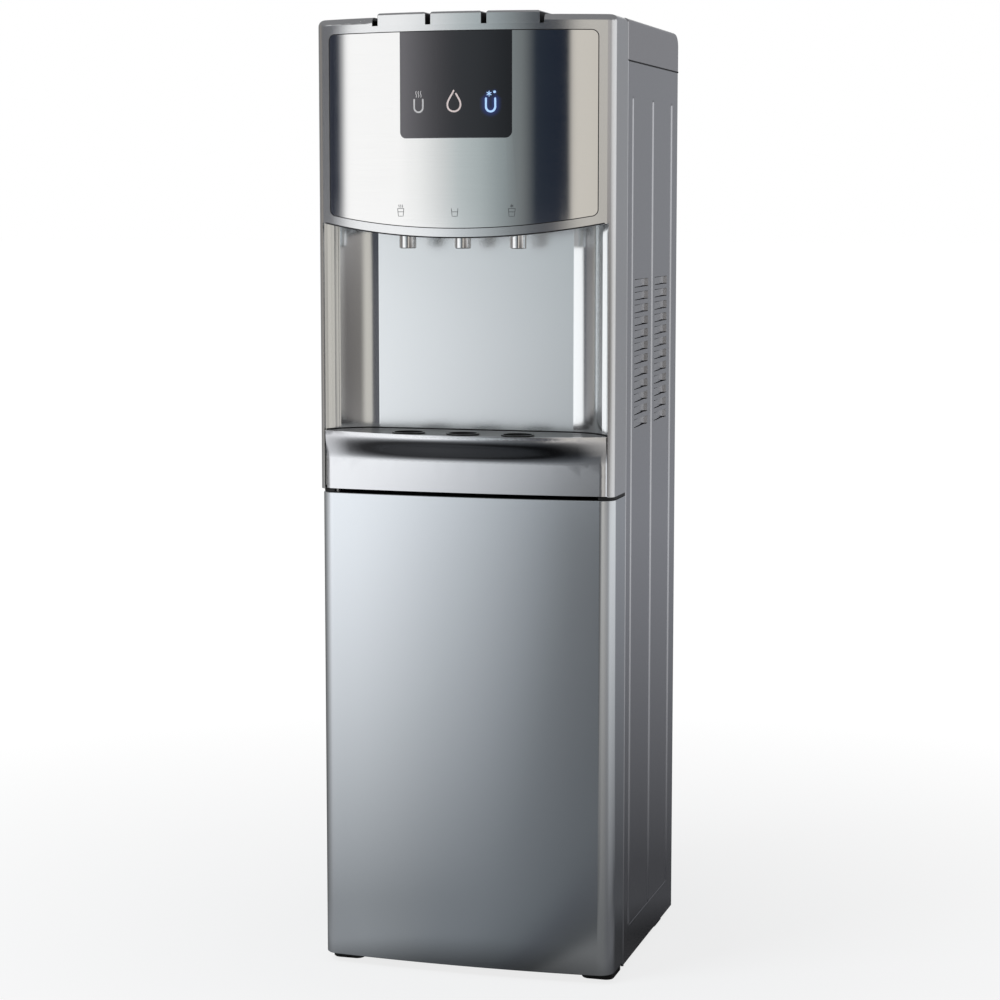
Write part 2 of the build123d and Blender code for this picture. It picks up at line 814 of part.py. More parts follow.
def drip_tray():
    half = niche_half
    body = tray_body(0, frame_bottom + 0.5, tray_top)
    body -= block(-half, half, shelf_front - 2, niche_back, frame_bottom, tray_base)
    body -= tray_body(tray_wall, tray_base + tray_floor, tray_top + 1)
    seat = tray_top - grille_drop - grille_thickness - fit_gap
    rebate = prism(bow_plan(half_width - tray_lip, niche_back + 10, front_bow, tray_lip), seat, tray_top + 1)
    return body - (rebate & prism(cove_plan(front_y - 5, slide_gap + tray_lip), seat, tray_top + 1))


def drip_grille():
    inset = tray_lip + fit_gap
    top = tray_top - grille_drop
    low = top - grille_thickness
    plate = prism(bow_plan(half_width - inset, niche_back + 10, front_bow, inset), low, top)
    plate &= prism(cove_plan(front_y - 5, slide_gap + inset), low, top)
    for x in outlets:
        plate += rod(drip_hole_radius + drip_collar, (x, outlet_y, low - 3), (x, outlet_y, low + 1))
    for x in outlets:
        plate -= rod(drip_hole_radius, (x, outlet_y, low - 4), (x, outlet_y, top + 1))
    return plate


def door_shell():
    plan = bow_plan(half_width, door_rear, door_bow, 0, door_corner_radius)
    outer = prism(plan, door_bottom, door_top)
    for end in (0, -1):
        edges = outer.faces().sort_by(Axis.Z)[end].edges()
        outer = fillet(edges.filter_by(lambda edge: edge.center().Y < door_rear - 1), door_edge_radius)
    inside = half_width - door_wall
    hollow = bow_plan(inside, door_rear + 1, door_bow, door_wall, door_corner_radius - door_wall)
    shell = outer - prism(hollow, door_bottom + door_wall, door_top - door_wall)
    for x in (-0.7 * half_width, 0, 0.7 * half_width):
        for share in (0.1, 0.5, 0.9):
            z = door_bottom + share * door_height
            shell += rod(4, (x, bow_y(x, door_bow, door_wall) - 1, z), (x, liner_y, z))
    low = door_bottom + door_wall - 1
    high = door_top - door_wall + 1
    for z0, z1 in ((low, low + hinge_boss_length), (high - hinge_boss_length, high)):
        shell += rod(hinge_boss_radius, (hinge_x, hinge_y, z0), (hinge_x, hinge_y, z1)) & block(
            -inside - 1, 0, corner_y, door_rear, door_bottom, door_top
        )
    bore = hinge_pin_radius + bearing_gap
    return shell - rod(bore, (hinge_x, hinge_y, door_bottom - 1), (hinge_x, hinge_y, door_top + 1))


def door_liner():
    half = half_width - door_corner_radius
    low = door_bottom + door_wall
    return block(-half, half, liner_y, liner_y + liner_thickness, low, door_top - door_wall)


def magnet_x():
    return half_width - door_corner_radius - magnet_width - 1


def door_magnet():
    x = magnet_x()
    face = liner_y + liner_thickness
    high = deck_bottom - 6
    return block(x, x + magnet_width, face, face + magnet_thickness, high - magnet_height, high)


def catch_plate():
    """Angle under the deck whose upright leaf meets the magnet."""
    x = magnet_x()
    face = liner_y + liner_thickness + magnet_thickness + fit_gap
    plate = block(x, x + magnet_width, face, seam_y + 30, deck_bottom - sheet, deck_bottom)
    low = deck_bottom - 6 - magnet_height
    return plate + block(x, x + magnet_width, face, face + sheet, low, deck_bottom)


def hinge_pins():
    reach = hinge_boss_length + door_wall
    upper = rod(hinge_pin_radius, (hinge_x, hinge_y, door_top - reach), (hinge_x, hinge_y, shelf_top))
    lower = rod(hinge_pin_radius, (hinge_x, hinge_y, foot_height), (hinge_x, hinge_y, door_bottom + reach))
    return Compound(children=[upper, lower])


def top_cover():
    front = seam_y + seam_gap
    outer = block(-half_width, half_width, front, back_y, cover_bottom, frame_top)
    back_edge = outer.edges().filter_by(Axis.X).sort_by(lambda edge: edge.center().Y + edge.center().Z)[-1]
    outer = fillet(back_edge, 16)
    side_edges = outer.edges().filter_by(
        lambda edge: abs(edge.center().X) > half_width - 1 and edge.center().Z > frame_top - 12
    )
    outer = fillet(side_edges.filter_by(lambda edge: edge.center().Y > front + 1), cover_side_radius)
    rim = outer.faces().sort_by(Axis.Y)[0].edges()
    outer = fillet(rim.filter_by(lambda edge: edge.center().Z > cover_bottom + 1), edge_roll)
    inside = half_width - cover_wall
    rear = back_y - cover_wall
    cover = outer - block(-inside, inside, front - 1, rear - 13, cover_bottom - 1, frame_top - cover_wall)
    cover -= block(-inside, inside, rear - 14, rear, cover_bottom - 1, frame_top - 16)
    rest = back_panel_y + sheet
    return cover + block(-inside + 20, inside - 20, back_panel_y, rest, cover_bottom, frame_top - 1)


def hot_tank():
    """Heated tank with its outlet, feed and drain stubs."""
    low = tank_base + hot_insulation
    high = tank_top - hot_insulation
    outer = rod(hot_radius, (hot_x, hot_y, low), (hot_x, hot_y, high))
    outlet_x = -outlet_pitch
    outer += rod(hose_radius, (outlet_x, hot_y - 10, port_z), (outlet_x, hot_y - hot_outer - 4, port_z))
    outer += rod(hose_radius, (hot_x, hot_y, port_z), (hot_x + hot_outer + 4, hot_y, port_z))
    outer += rod(drain_radius, (hot_x, hot_y, drain_z), (hot_x, hot_y + hot_outer + 4, drain_z))
    inner = hot_radius - tank_wall
    return outer - rod(inner, (hot_x, hot_y, low + tank_wall), (hot_x, hot_y, high - tank_wall))


def hot_jacket():
    """Insulation round the hot tank, split at the lid."""
    top = tank_top - hot_insulation
    cup = rod(hot_outer, (hot_x, hot_y, tank_base), (hot_x, hot_y, top))
    bore = hot_radius + glue_gap
    cup -= rod(bore, (hot_x, hot_y, tank_base + hot_insulation), (hot_x, hot_y, top + 1))
    hole = hose_radius + glue_gap
    outlet_x = -outlet_pitch
    cup -= rod(hole, (outlet_x, hot_y, port_z), (outlet_x, hot_y - 2 * hot_outer, port_z))
    cup -= rod(hole, (hot_x, hot_y, port_z), (hot_x + 2 * hot_outer, hot_y, port_z))
    cup -= rod(drain_radius + glue_gap, (hot_x, hot_y, drain_z), (hot_x, hot_y + 2 * hot_outer, drain_z))
    lid = rod(hot_outer, (hot_x, hot_y, top), (hot_x, hot_y, tank_top))
    return Compound(children=[cup, lid])


def cold_tank():
    """Chilled tank with its outlet and feed stubs."""
    low = tank_base + cold_insulation
    high = tank_top - cold_insulation
    outer = rod(cold_radius, (cold_x, cold_y, low), (cold_x, cold_y, high))
    outer += rod(hose_radius, (outlet_pitch, cold_y, port_z), (outlet_pitch, cold_y - cold_half - 4, port_z))
    outer += rod(hose_radius, (cold_x, hot_y, port_z), (cold_x - cold_half - 4, hot_y, port_z))
    inner = cold_radius - tank_wall
    return outer - rod(inner, (cold_x, cold_y, low + tank_wall), (cold_x, cold_y, high - tank_wall))


def cold_foam():
    """Insulation block round the cold tank, split at the lid."""
    top = tank_top - cold_insulation
    x0 = cold_x - cold_half
    x1 = cold_x + cold_half
    y0 = cold_y - cold_half
    y1 = cold_y + cold_half
    cup = block(x0, x1, y0, y1, tank_base, top)
    bore = cold_radius + glue_gap
    cup -= rod(bore, (cold_x, cold_y, tank_base + cold_insulation), (cold_x, cold_y, top + 1))
    hole = hose_radius + glue_gap
    cup -= rod(hole, (outlet_pitch, cold_y, port_z), (outlet_pitch, y0 - 5, port_z))
    cup -= rod(hole, (cold_x, hot_y, port_z), (x0 - 5, hot_y, port_z))
    return Compound(children=[cup, block(x0, x1, y0, y1, top, tank_top)])


def compressor():
    """Hermetic compressor with seam flange, foot plate and stubs; its motor counts in the wall."""
    low = deck_top + grommet_height
    plate = low + deck_thickness
    radius = compressor_radius
    high = plate + compressor_height
    middle = plate + 0.55 * compressor_height
    waist = 0.94 * radius
    points = [(0, plate), (0.75 * radius, plate), (waist, plate + 0.12 * compressor_height)]
    points += [(waist, middle - 3), (radius, middle - 3), (radius, middle + 3), (waist, middle + 3)]
    points += [(waist, high - 0.25 * compressor_height), (0.72 * radius, high - 0.06 * compressor_height)]
    points += [(0.45 * radius, high), (0, high)]
    profile = Plane.XZ * make_face(Polyline(*points, close=True))
    body = Pos(compressor_x, compressor_y, 0) * revolve(profile, Axis.Z)
    x0, x1 = compressor_x - radius, compressor_x + radius
    y0, y1 = compressor_y - 0.8 * radius, compressor_y + 0.8 * radius
    body += fillet(block(x0, x1, y0, y1, low, plate).edges().filter_by(Axis.Z), 12)
    suction = (compressor_x + radius + 8, compressor_y, middle + 25)
    body += rod(pipe_radius, (compressor_x, compressor_y, middle + 25), suction)
    discharge = (compressor_x, compressor_y + radius + 3, middle + 10)
    body += rod(pipe_radius, (compressor_x, compressor_y, middle + 10), discharge)
    floor = (compressor_x, compressor_y, plate + compressor_wall)
    roof = (compressor_x, compressor_y, high - 0.25 * compressor_height)
    return body - rod(waist - compressor_wall, floor, roof)


def compressor_grommets():
    pieces = []
    for sx in (-1, 1):
        for sy in (-1, 1):
            x = compressor_x + sx * (compressor_radius - 14)
            y = compressor_y + sy * (0.8 * compressor_radius - 14)
            pieces.append(rod(9, (x, y, deck_top), (x, y, deck_top + grommet_height)))
    return Compound(children=pieces)


def refrigerant_pipes():
    middle = deck_top + grommet_height + deck_thickness + 0.55 * compressor_height
    bore = pipe_radius - 1
    start_x = compressor_x + compressor_radius + 8
    points = [(start_x, compressor_y, middle + 25), (cold_x, compressor_y, middle + 25)]
    suction = bent_pipe(pipe_radius, bore, 12, points + [(cold_x, compressor_y, tank_base)])
    start_y = compressor_y + compressor_radius + 3
    end_y = back_panel_y - coil_end
    points = [(compressor_x, start_y, middle + 10), (compressor_x, pipe_y, middle + 10)]
    points += [(compressor_x, pipe_y, coil_top), (compressor_x, end_y, coil_top)]
    discharge = bent_pipe(pipe_radius, bore, 8, points)
    return Compound(children=[suction, discharge])


def condenser_coil():
    """Serpentine tube behind the back panel, both ends turned in through it."""
    levels = coil_levels()
    inside = back_panel_y - coil_end
    points = [(compressor_x, inside, levels[0]), (compressor_x, coil_y, levels[0])]
    right = True
    for z, below in zip(levels, levels[1:]):
        x = coil_right if right else coil_left
        points += [(x, coil_y, z), (x, coil_y, below)]
        right = not right
    points += [(compressor_x, coil_y, levels[-1]), (compressor_x, inside, levels[-1])]
    bends = [coil_bend] + [0.48 * coil_pitch] * (len(points) - 4) + [coil_bend]
    return bent_pipe(coil_tube_radius, coil_tube_radius - coil_tube_wall, bends, points)


def condenser_wires():
    levels = coil_levels()
    pieces = []
    offset = coil_tube_radius + coil_wire_radius + glue_gap
    for x in wire_places():
        for y in (coil_y - offset, coil_y + offset):
            pieces.append(rod(coil_wire_radius, (x, y, levels[-1] - 8), (x, y, levels[0] + 8)))
    return Compound(children=pieces)


def pump():
    low = deck_top
    half = pump_length / 2
    body = rod(pump_radius, (pump_x, pump_y - half, pump_z), (pump_x, pump_y + half, pump_z))
    body += block(pump_x - 20, pump_x + 20, pump_y - 24, pump_y + 24, low, pump_z - 10)
    top = pump_z + pump_radius + pump_port
    body += rod(hose_radius, (pump_x, pump_y, pump_z), (pump_x, pump_y, top))
    return body + rod(hose_radius, (pump_x, pump_y, pump_z), (pump_x + pump_radius + 6, pump_y, pump_z))


def bottle_probe():
    """Dip tube that goes into the bottle, with its collar."""
    top = (probe_x, probe_y, probe_top)
    shoulder = probe_top - collar_height
    tube = rod(probe_radius, (probe_x, probe_y, shoulder - probe_length), top)
    return tube + rod(collar_radius, (probe_x, probe_y, shoulder), top)


def probe_clip():
    """Clip on the side panel round the probe's tube."""
    z = probe_top - collar_height - 0.6 * probe_length
    hole = probe_radius + glue_gap
    ring = ring_rod(probe_radius + 3, hole, (probe_x, probe_y, z), (probe_x, probe_y, z + 14))
    arm = block(probe_x + probe_radius + 1, inner_half, probe_y - 4, probe_y + 4, z, z + 14)
    return ring + arm


def probe_hose():
    start = (probe_x, probe_y, probe_top)
    high = (probe_x, probe_y, pump_z)
    turn = (probe_x, pump_y, pump_z)
    end = (pump_x + pump_radius + 6, pump_y, pump_z)
    return bent_pipe(hose_radius, hose_bore, 10, [start, high, turn, end])


def room_hose():
    """Riser from the pump, teed to both tanks and led on to the middle valve."""
    start = (pump_x, pump_y, pump_z + pump_radius + pump_port)
    cross = tank_floor - 50
    points = [start, (pump_x, pump_y, cross), (riser_x, pump_y, cross), (riser_x, pump_y, port_z)]
    end = outlet_y + port_length
    if abs(riser_x) > 1:
        clear = 2 * hose_radius
        points += [(riser_x, cold_y - cold_half - clear, port_z), (0, end + clear, port_z)]
    hose = bent_pipe(hose_radius, hose_bore, 16, points + [(0, end, port_z)])
    wall = (hose_radius + hose_bore) / 2
    tees = ((hot_x + hot_outer + 4, riser_x - wall), (cold_x - cold_half - 4, riser_x + wall))
    for start_x, end_x in tees:
        hose += ring_rod(hose_radius, hose_bore, (start_x, hot_y, port_z), (end_x, hot_y, port_z))
    return hose


def valve_hoses():
    end = outlet_y + port_length
    hot_end = hot_y - hot_outer - 4
    cold_end = cold_y - cold_half - 4
    hot = ring_rod(hose_radius, hose_bore, (-outlet_pitch, hot_end, port_z), (-outlet_pitch, end, port_z))
    cold = ring_rod(hose_radius, hose_bore, (outlet_pitch, cold_end, port_z), (outlet_pitch, end, port_z))
    return Compound(children=[hot, cold])


def switch_level():
    return panel_top - switch_drop


def rocker_y():
    return back_panel_y + sheet + 2


def switch_housing(x):
    z = switch_level()
    inner_x = rocker_width / 2 + fit_gap
    inner_z = rocker_length / 2 + 2 * fit_gap
    outer_x = inner_x + housing_wall
    outer_z = inner_z + housing_wall
    rear = back_panel_y + sheet
    body = block(x - outer_x, x + outer_x, back_panel_y - 14, rear, z - outer_z, z + outer_z)
    body += block(x - outer_x - 2, x + outer_x + 2, rear, rear + 2.5, z - outer_z - 2, z + outer_z + 2)
    deep = rocker_y() - rocker_thickness
    body -= block(x - inner_x, x + inner_x, deep, rear + 5, z - inner_z, z + inner_z)
    pivot = 1.5 + bearing_gap
    reach = inner_x + 2
    return body - rod(pivot, (x - reach, rocker_y(), z), (x + reach, rocker_y(), z))


def switch_housings():
    return Compound(children=[switch_housing(x) for x in switch_columns])


def rocker(x):
    z = switch_level()
    y = rocker_y()
    half_x = rocker_width / 2
    half_z = rocker_length / 2
    half_y = rocker_thickness / 2
    body = block(x - half_x, x + half_x, -half_y, half_y, -half_z, half_z)
    body = Pos(0, y, z) * (Rot(rocker_tilt, 0, 0) * body)
    reach = half_x + 1.6
    return body + rod(1.5, (x - reach, y, z), (x + reach, y, z))


def cord_gland():
    z = deck_top + 35
    rear = back_panel_y + sheet
    gland = rod(gland_radius, (gland_x, back_panel_y - 8, z), (gland_x, rear + 14, z))
    gland += rod(gland_radius + 4, (gland_x, rear, z), (gland_x, rear + 4, z))
    gland += rod(gland_radius + 3, (gland_x, back_panel_y - 5, z), (gland_x, back_panel_y, z))
    return gland - rod(gland_bore, (gland_x, back_panel_y - 9, z), (gland_x, rear + 15, z))


def drain_end():
    return back_panel_y + sheet + 11


def drain_pipe():
    rear = back_panel_y + sheet
    start = (hot_x, hot_y + hot_outer + 4, drain_z)
    end = (hot_x, drain_end(), drain_z)
    pipe = rod(drain_radius, start, end)
    pipe += rod(drain_radius + 4, (hot_x, rear, drain_z), (hot_x, rear + 2, drain_z))
    return pipe - rod(drain_bore, start, end)


def drain_plug():
    face = drain_end() + fit_gap
    head = rod(drain_radius + 2.5, (hot_x, face, drain_z), (hot_x, face + 6, drain_z))
    return head + rod(drain_bore - fit_gap, (hot_x, face - 12, drain_z), (hot_x, face + 1, drain_z))


def back_screws():
    pieces = []
    rear = back_panel_y + sheet
    low = base_top + 20
    high = cover_bottom - 20
    for x in (-inner_half + 9, inner_half - 9):
        for share in (0.0, 0.25, 0.5, 0.75, 1.0):
            z = low + share * (high - low)
            head = rod(screw_radius, (x, rear, z), (x, rear + 2.2, z))
            pieces.append(fillet(head.edges().group_by(Axis.Y)[-1], 1.0))
    return Compound(children=pieces)


right_panel = side_panel()
parts = {
    "base_pan": base_pan(),
    "bottle_stand": bottle_stand(),
    "feet": feet(),
    "side_panel_right": right_panel,
    "side_panel_left": mirror(right_panel, about=Plane.YZ),
    "back_panel": back_panel(),
    "mid_deck": mid_deck(),
    "tray_shelf": tray_shelf(),
    "tank_shelf": tank_shelf(),
    "front_frame": front_frame(),
    "fascia_panel": fascia_panel(),
    "display_window": display_window(),
    "display_board": display_board(),
    "niche_panel": niche_panel(),
    "spout_plate": spout_plate(),
    "key_pin": key_pin(),
    "key_board": key_board(),
    "drip_tray": drip_tray(),
    "drip_grille": drip_grille(),
    "door_shell": door_shell(),
    "door_liner": door_liner(),
    "door_magnet": door_magnet(),
    "catch_plate": catch_plate(),
    "hinge_pins": hinge_pins(),
    "top_cover": top_cover(),
    "hot_tank": hot_tank(),
    "hot_jacket": hot_jacket(),
    "cold_tank": cold_tank(),
    "cold_foam": cold_foam(),
    "compressor": compressor(),
    "compressor_grommets": compressor_grommets(),
    "refrigerant_pipes": refrigerant_pipes(),
    "condenser_coil": condenser_coil(),
    "condenser_wires": condenser_wires(),
    "pump": pump(),
    "bottle_probe": bottle_probe(),
    "probe_clip": probe_clip(),
    "probe_hose": probe_hose(),
    "room_hose": room_hose(),
    "valve_hoses": valve_hoses(),
    "switch_housings": switch_housings(),
    "heat_rocker": rocker(switch_columns[0]),
    "cool_rocker": rocker(switch_columns[1]),
    "cord_gland": cord_gland(),
    "drain_pipe": drain_pipe(),
    "drain_plug": drain_plug(),
    "back_screws": back_screws(),
}
for name, x in zip(("hot", "room", "cold"), outlets):
    parts["spout_" + name] = spout(x)
    parts["valve_" + name] = valve(x)
    parts["key_" + name] = key(x)
    parts["key_spring_" + name] = key_spring(x)

os.makedirs("parts", exist_ok=True)
for name, shape in parts.items():
    export_step(shape, f"parts/{name}.step")
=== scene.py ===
"""Finishes, pictograms and a plain studio for a bottom-loading water dispenser."""

import json
import math

import bmesh
import bpy
from bpy.props import FloatProperty, FloatVectorProperty, PointerProperty
from mathutils import Matrix, Vector


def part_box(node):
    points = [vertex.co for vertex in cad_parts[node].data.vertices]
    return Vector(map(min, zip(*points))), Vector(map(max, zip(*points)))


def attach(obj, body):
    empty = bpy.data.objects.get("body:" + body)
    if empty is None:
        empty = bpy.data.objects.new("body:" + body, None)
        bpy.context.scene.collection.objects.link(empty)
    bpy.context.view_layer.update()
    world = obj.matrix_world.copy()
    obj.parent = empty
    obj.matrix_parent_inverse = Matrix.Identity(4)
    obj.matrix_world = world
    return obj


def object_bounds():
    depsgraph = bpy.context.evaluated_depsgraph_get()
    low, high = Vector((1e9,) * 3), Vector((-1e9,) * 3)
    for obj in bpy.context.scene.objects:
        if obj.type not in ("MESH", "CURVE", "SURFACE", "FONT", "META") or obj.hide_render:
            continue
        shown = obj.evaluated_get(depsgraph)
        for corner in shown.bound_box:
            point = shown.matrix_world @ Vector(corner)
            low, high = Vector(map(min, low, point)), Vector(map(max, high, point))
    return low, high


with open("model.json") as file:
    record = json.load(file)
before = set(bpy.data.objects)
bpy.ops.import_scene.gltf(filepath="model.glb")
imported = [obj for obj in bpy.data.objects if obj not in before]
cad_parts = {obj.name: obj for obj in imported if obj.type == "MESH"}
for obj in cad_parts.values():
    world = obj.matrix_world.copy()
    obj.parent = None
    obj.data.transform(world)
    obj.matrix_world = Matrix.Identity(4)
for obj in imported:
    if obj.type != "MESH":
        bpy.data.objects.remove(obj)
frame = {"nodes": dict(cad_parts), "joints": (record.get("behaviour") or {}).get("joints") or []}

bl_info = {
    "name": "Water Dispenser",
    "version": (1, 0, 0),
    "blender": (4, 5, 0),
    "location": "View3D > Sidebar > Dispenser",
    "description": "Dresses the packed water dispenser and sets a plain studio round it",
    "category": "Object",
}

CAD_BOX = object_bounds()
MM = 0.001
WAYS = ("hot", "room", "cold")

# Steel fascia: its box, the rounding of its corners, the arc of its lower edge and the rim below it
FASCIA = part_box("fascia_panel")
FASCIA_CORNER = 7 * MM
SMILE_RADIUS = 800 * MM
RIM_DROP = 10.5 * MM
RIM_REACH = 6 * MM

# Bowed front: half width, height of the bow, its radius and its centre
HALF_WIDTH = CAD_BOX[1][0]
BOW = 34 * MM
BOW_RADIUS = (HALF_WIDTH**2 + BOW**2) / (2 * BOW)
BOW_CENTRE = FASCIA[0][1] + BOW_RADIUS

# Keys: their spacing, half width, and the strip down each side that is painted dark as the shade between
# the keys
KEY_PITCH = 61 * MM
KEY_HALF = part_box("key_room")[1][0]
KEY_SIDE_SHADE = 0.3 * MM

# Drip holes, one under each spout, with a painted highlight round the edge, painted shade inside, and a
# rubber grommet
SPOUTS = [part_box("spout_" + way) for way in WAYS]
SPOUT_COLUMNS = [(low[0] + high[0]) / 2 for low, high in SPOUTS]
SPOUT_Y = (SPOUTS[1][0][1] + SPOUTS[1][1][1]) / 2
DRIP_RADIUS = 15.5 * MM
DRIP_HIGHLIGHT = 0.7 * MM
GROMMET_OUT = 1.2 * MM
GROMMET_WIDTH = 2.2 * MM

# Niche: its back and half width, the straight half of its back, the round coves and the outer edges
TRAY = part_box("drip_tray")
NICHE_BACK = TRAY[1][1]
NICHE_HALF = TRAY[1][0]
COVE_X = 110 * MM
COVE_RADIUS = 68.4 * MM
COVE_CREASE = math.radians(12)
NICHE_EDGE = 147 * MM

# Niche lining, by bump alone: swell of the back, turn and curve of the outer edges
SWELL = 0.14
EDGE_TURN = 5.7
EDGE_CURVE = 300.0

# Tray: half length of the painted shade under its lip and its fade, the slope where it starts, and its
# spread
LIP_SHADE_HALF = 146 * MM
LIP_SHADE_FADE = 18 * MM
LIP_SHADE_SLOPE = -0.14
LIP_SHADE_SPREAD = 0.48
# How far short of the tray's top and bottom the painted shade strips beside it end
TRAY_SHADE_END = 1 * MM

# Dark strip painting the shade in the joint under the cover: width, distance inside the widest line, and
# how much shorter than the side
COVER_SHADE_WIDTH = 1.6 * MM
COVER_SHADE_IN = 1.1 * MM
COVER_SHADE_SHORT = 1.2 * MM

# Printed marks: level and columns of the pictograms on the display, level of the cups on the steel
ICON_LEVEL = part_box("display_window")[0][2] + 27 * MM
ICON_COLUMNS = (-40 * MM, -0.6 * MM, 38.8 * MM)
CUP_LEVEL = FASCIA[0][2] + 12.5 * MM

# Pictograms, in millimetres from their foot: half width of the cups, places of the star and the dot
ICON_CUP = 4.9
STAR = (-1.6, 18.4)
DOT = (4.2, 20.2)

# Glow of the lit pictogram in millimetres: ends of the cup's glow, and the reach of cup, star and dot
GLOW_LOW, GLOW_HIGH = 5.6, 13.6
CUP_GLOW, STAR_GLOW, DOT_GLOW = 7.5, 5.6, 4.2

# Painted reflection on the display: where it starts and how far to the left it is full
REFLECTION_START = 5 * MM
REFLECTION_SPAN = 62 * MM

# Rocker switches: tilt of the face, its distance from the pivot, and the two signs
ROCKER_TILT = math.radians(7)
ROCKER_FACE = 5 * MM
BAR_SIGN = ((0.0, 3.6 * MM), (0.0, 7.4 * MM))
BAR_WIDTH = 0.8 * MM
RING_SIGN = (0.0, -5.5 * MM)
RING_RADIUS = 2 * MM
RING_WIDTH = 0.7 * MM
SIGN_RISE = 0.05 * MM

# Back screws: radius of the heads, rows, and the crosses in them
SCREW_RADIUS = 4 * MM
SCREW_ROWS = 5
CROSS_REACH = 1.9 * MM
CROSS_TURNS = (35, 125)
CROSS_WIDTH = 0.9 * MM
CROSS_RISE = 0.06 * MM

# Fade of painted borders, and how deep raised print is sunk
SHARP = 0.1 * MM
SINK = 0.05 * MM

# Black of the dark strips in the joints, which paint shade, and of the rubber grommets
JOINT_SHADE_AND_GROMMET_BLACK = (0.012, 0.012, 0.013)

# Camera: place, degrees down and to the left, focal length
CAMERA_PLACE = (0.7757, -2.6957, 0.8344)
CAMERA_DOWN = 6.625
CAMERA_TURN = 16.059
CAMERA_LENS = 89.967

# Lamps: place, target and size
KEY_LAMP = ((-1.0, -1.25, 2.05), (0.0, -0.15, 0.62), 0.9)
FRONT_LAMP = ((0.35, -2.2, 2.7), (0.0, 0.0, 0.7), 1.2)

# Floor, in metres from the object's middle: half size, and start and span of each fade
FLOOR_HALF = 60.0
EYE_FADE = (0.25, 1.1)
FOOT_FADE = (0.19, 0.1)
BEYOND_FADE = (5.0, 2.0)

# Far floor in mirrors: where it starts, how slowly its share grows and the limit of that share
FAR_START = 0.45
FAR_PACE = 2.75
FAR_LIMIT = 1.75

# Where the walls turn into the ceiling, as the upward part of a direction: start and span
CEILING_FADE = (0.24, 0.12)

# Studio walls by direction in degrees, 0 in front and positive to the right
WALLS = (
    (-180, (0.30, 0.305, 0.32)), (-174, (0.66, 0.66, 0.67)), (-150, (0.70, 0.70, 0.71)),
    (-130, (0.22, 0.22, 0.22)), (-105, (0.18, 0.175, 0.17)), (-84, (0.28, 0.25, 0.22)),
    (-79, (0.15, 0.145, 0.145)), (-64, (0.13, 0.13, 0.14)), (-61, (0.022, 0.026, 0.04)),
    (-57.5, (0.03, 0.035, 0.05)), (-54.5, (1.0, 1.0, 1.0)), (-36, (0.98, 0.98, 0.98)),
    (-29, (0.87, 0.88, 0.88)), (-22, (0.66, 0.68, 0.685)),
    (-15.4, (0.48, 0.53, 0.54)), (-8.8, (0.39, 0.44, 0.45)), (-2, (0.26, 0.30, 0.31)),
    (4.7, (0.15, 0.165, 0.17)), (8.5, (0.02, 0.027, 0.04)), (18.6, (0.012, 0.017, 0.03)),
    (19.8, (0.61, 0.58, 0.53)), (29, (0.58, 0.55, 0.50)), (38, (0.46, 0.435, 0.42)),
    (66, (0.43, 0.415, 0.41)), (76, (0.74, 0.73, 0.73)), (130, (0.80, 0.80, 0.81)),
    (140, (0.285, 0.29, 0.305)), (180, (0.285, 0.29, 0.305)),
)

# Floor by direction as mirrors show it: far from the object, close to it and at the horizon
GROUND_FAR = (
    (-180, (0.24, 0.245, 0.26)), (-160, (0.12, 0.12, 0.12)), (-120, (0.17, 0.17, 0.17)),
    (-92, (0.33, 0.33, 0.33)), (-70, (0.62, 0.62, 0.63)), (-52, (0.92, 0.92, 0.94)),
    (-40, (1.0, 1.01, 1.03)), (-30, (0.98, 0.99, 1.01)), (-24, (0.81, 0.82, 0.84)),
    (-19, (0.63, 0.645, 0.665)), (-14, (0.49, 0.505, 0.525)), (-8, (0.285, 0.30, 0.315)),
    (-4.5, (0.15, 0.157, 0.165)), (3, (0.07, 0.07, 0.075)), (12, (0.08, 0.078, 0.075)),
    (15, (0.50, 0.48, 0.46)), (34, (0.47, 0.45, 0.43)), (56, (0.34, 0.33, 0.33)),
    (66, (0.40, 0.40, 0.40)), (76, (0.72, 0.72, 0.73)), (130, (0.72, 0.72, 0.73)),
    (140, (0.26, 0.265, 0.285)), (180, (0.26, 0.265, 0.285)),
)
GROUND_NEAR = (
    (-180, (0.05, 0.05, 0.055)), (-120, (0.05, 0.05, 0.05)), (-90, (0.12, 0.12, 0.12)),
    (-52, (0.25, 0.255, 0.265)), (-34, (0.25, 0.26, 0.27)), (-25, (0.215, 0.225, 0.235)),
    (-16, (0.175, 0.187, 0.20)), (-6, (0.15, 0.162, 0.175)), (6, (0.10, 0.11, 0.12)),
    (12, (0.055, 0.06, 0.07)), (20, (0.045, 0.048, 0.05)), (25, (0.13, 0.13, 0.13)),
    (45, (0.12, 0.12, 0.12)), (60, (0.095, 0.095, 0.10)), (76, (0.105, 0.105, 0.11)),
    (95, (0.085, 0.085, 0.09)), (108, (0.057, 0.058, 0.063)), (180, (0.057, 0.058, 0.063)),
)
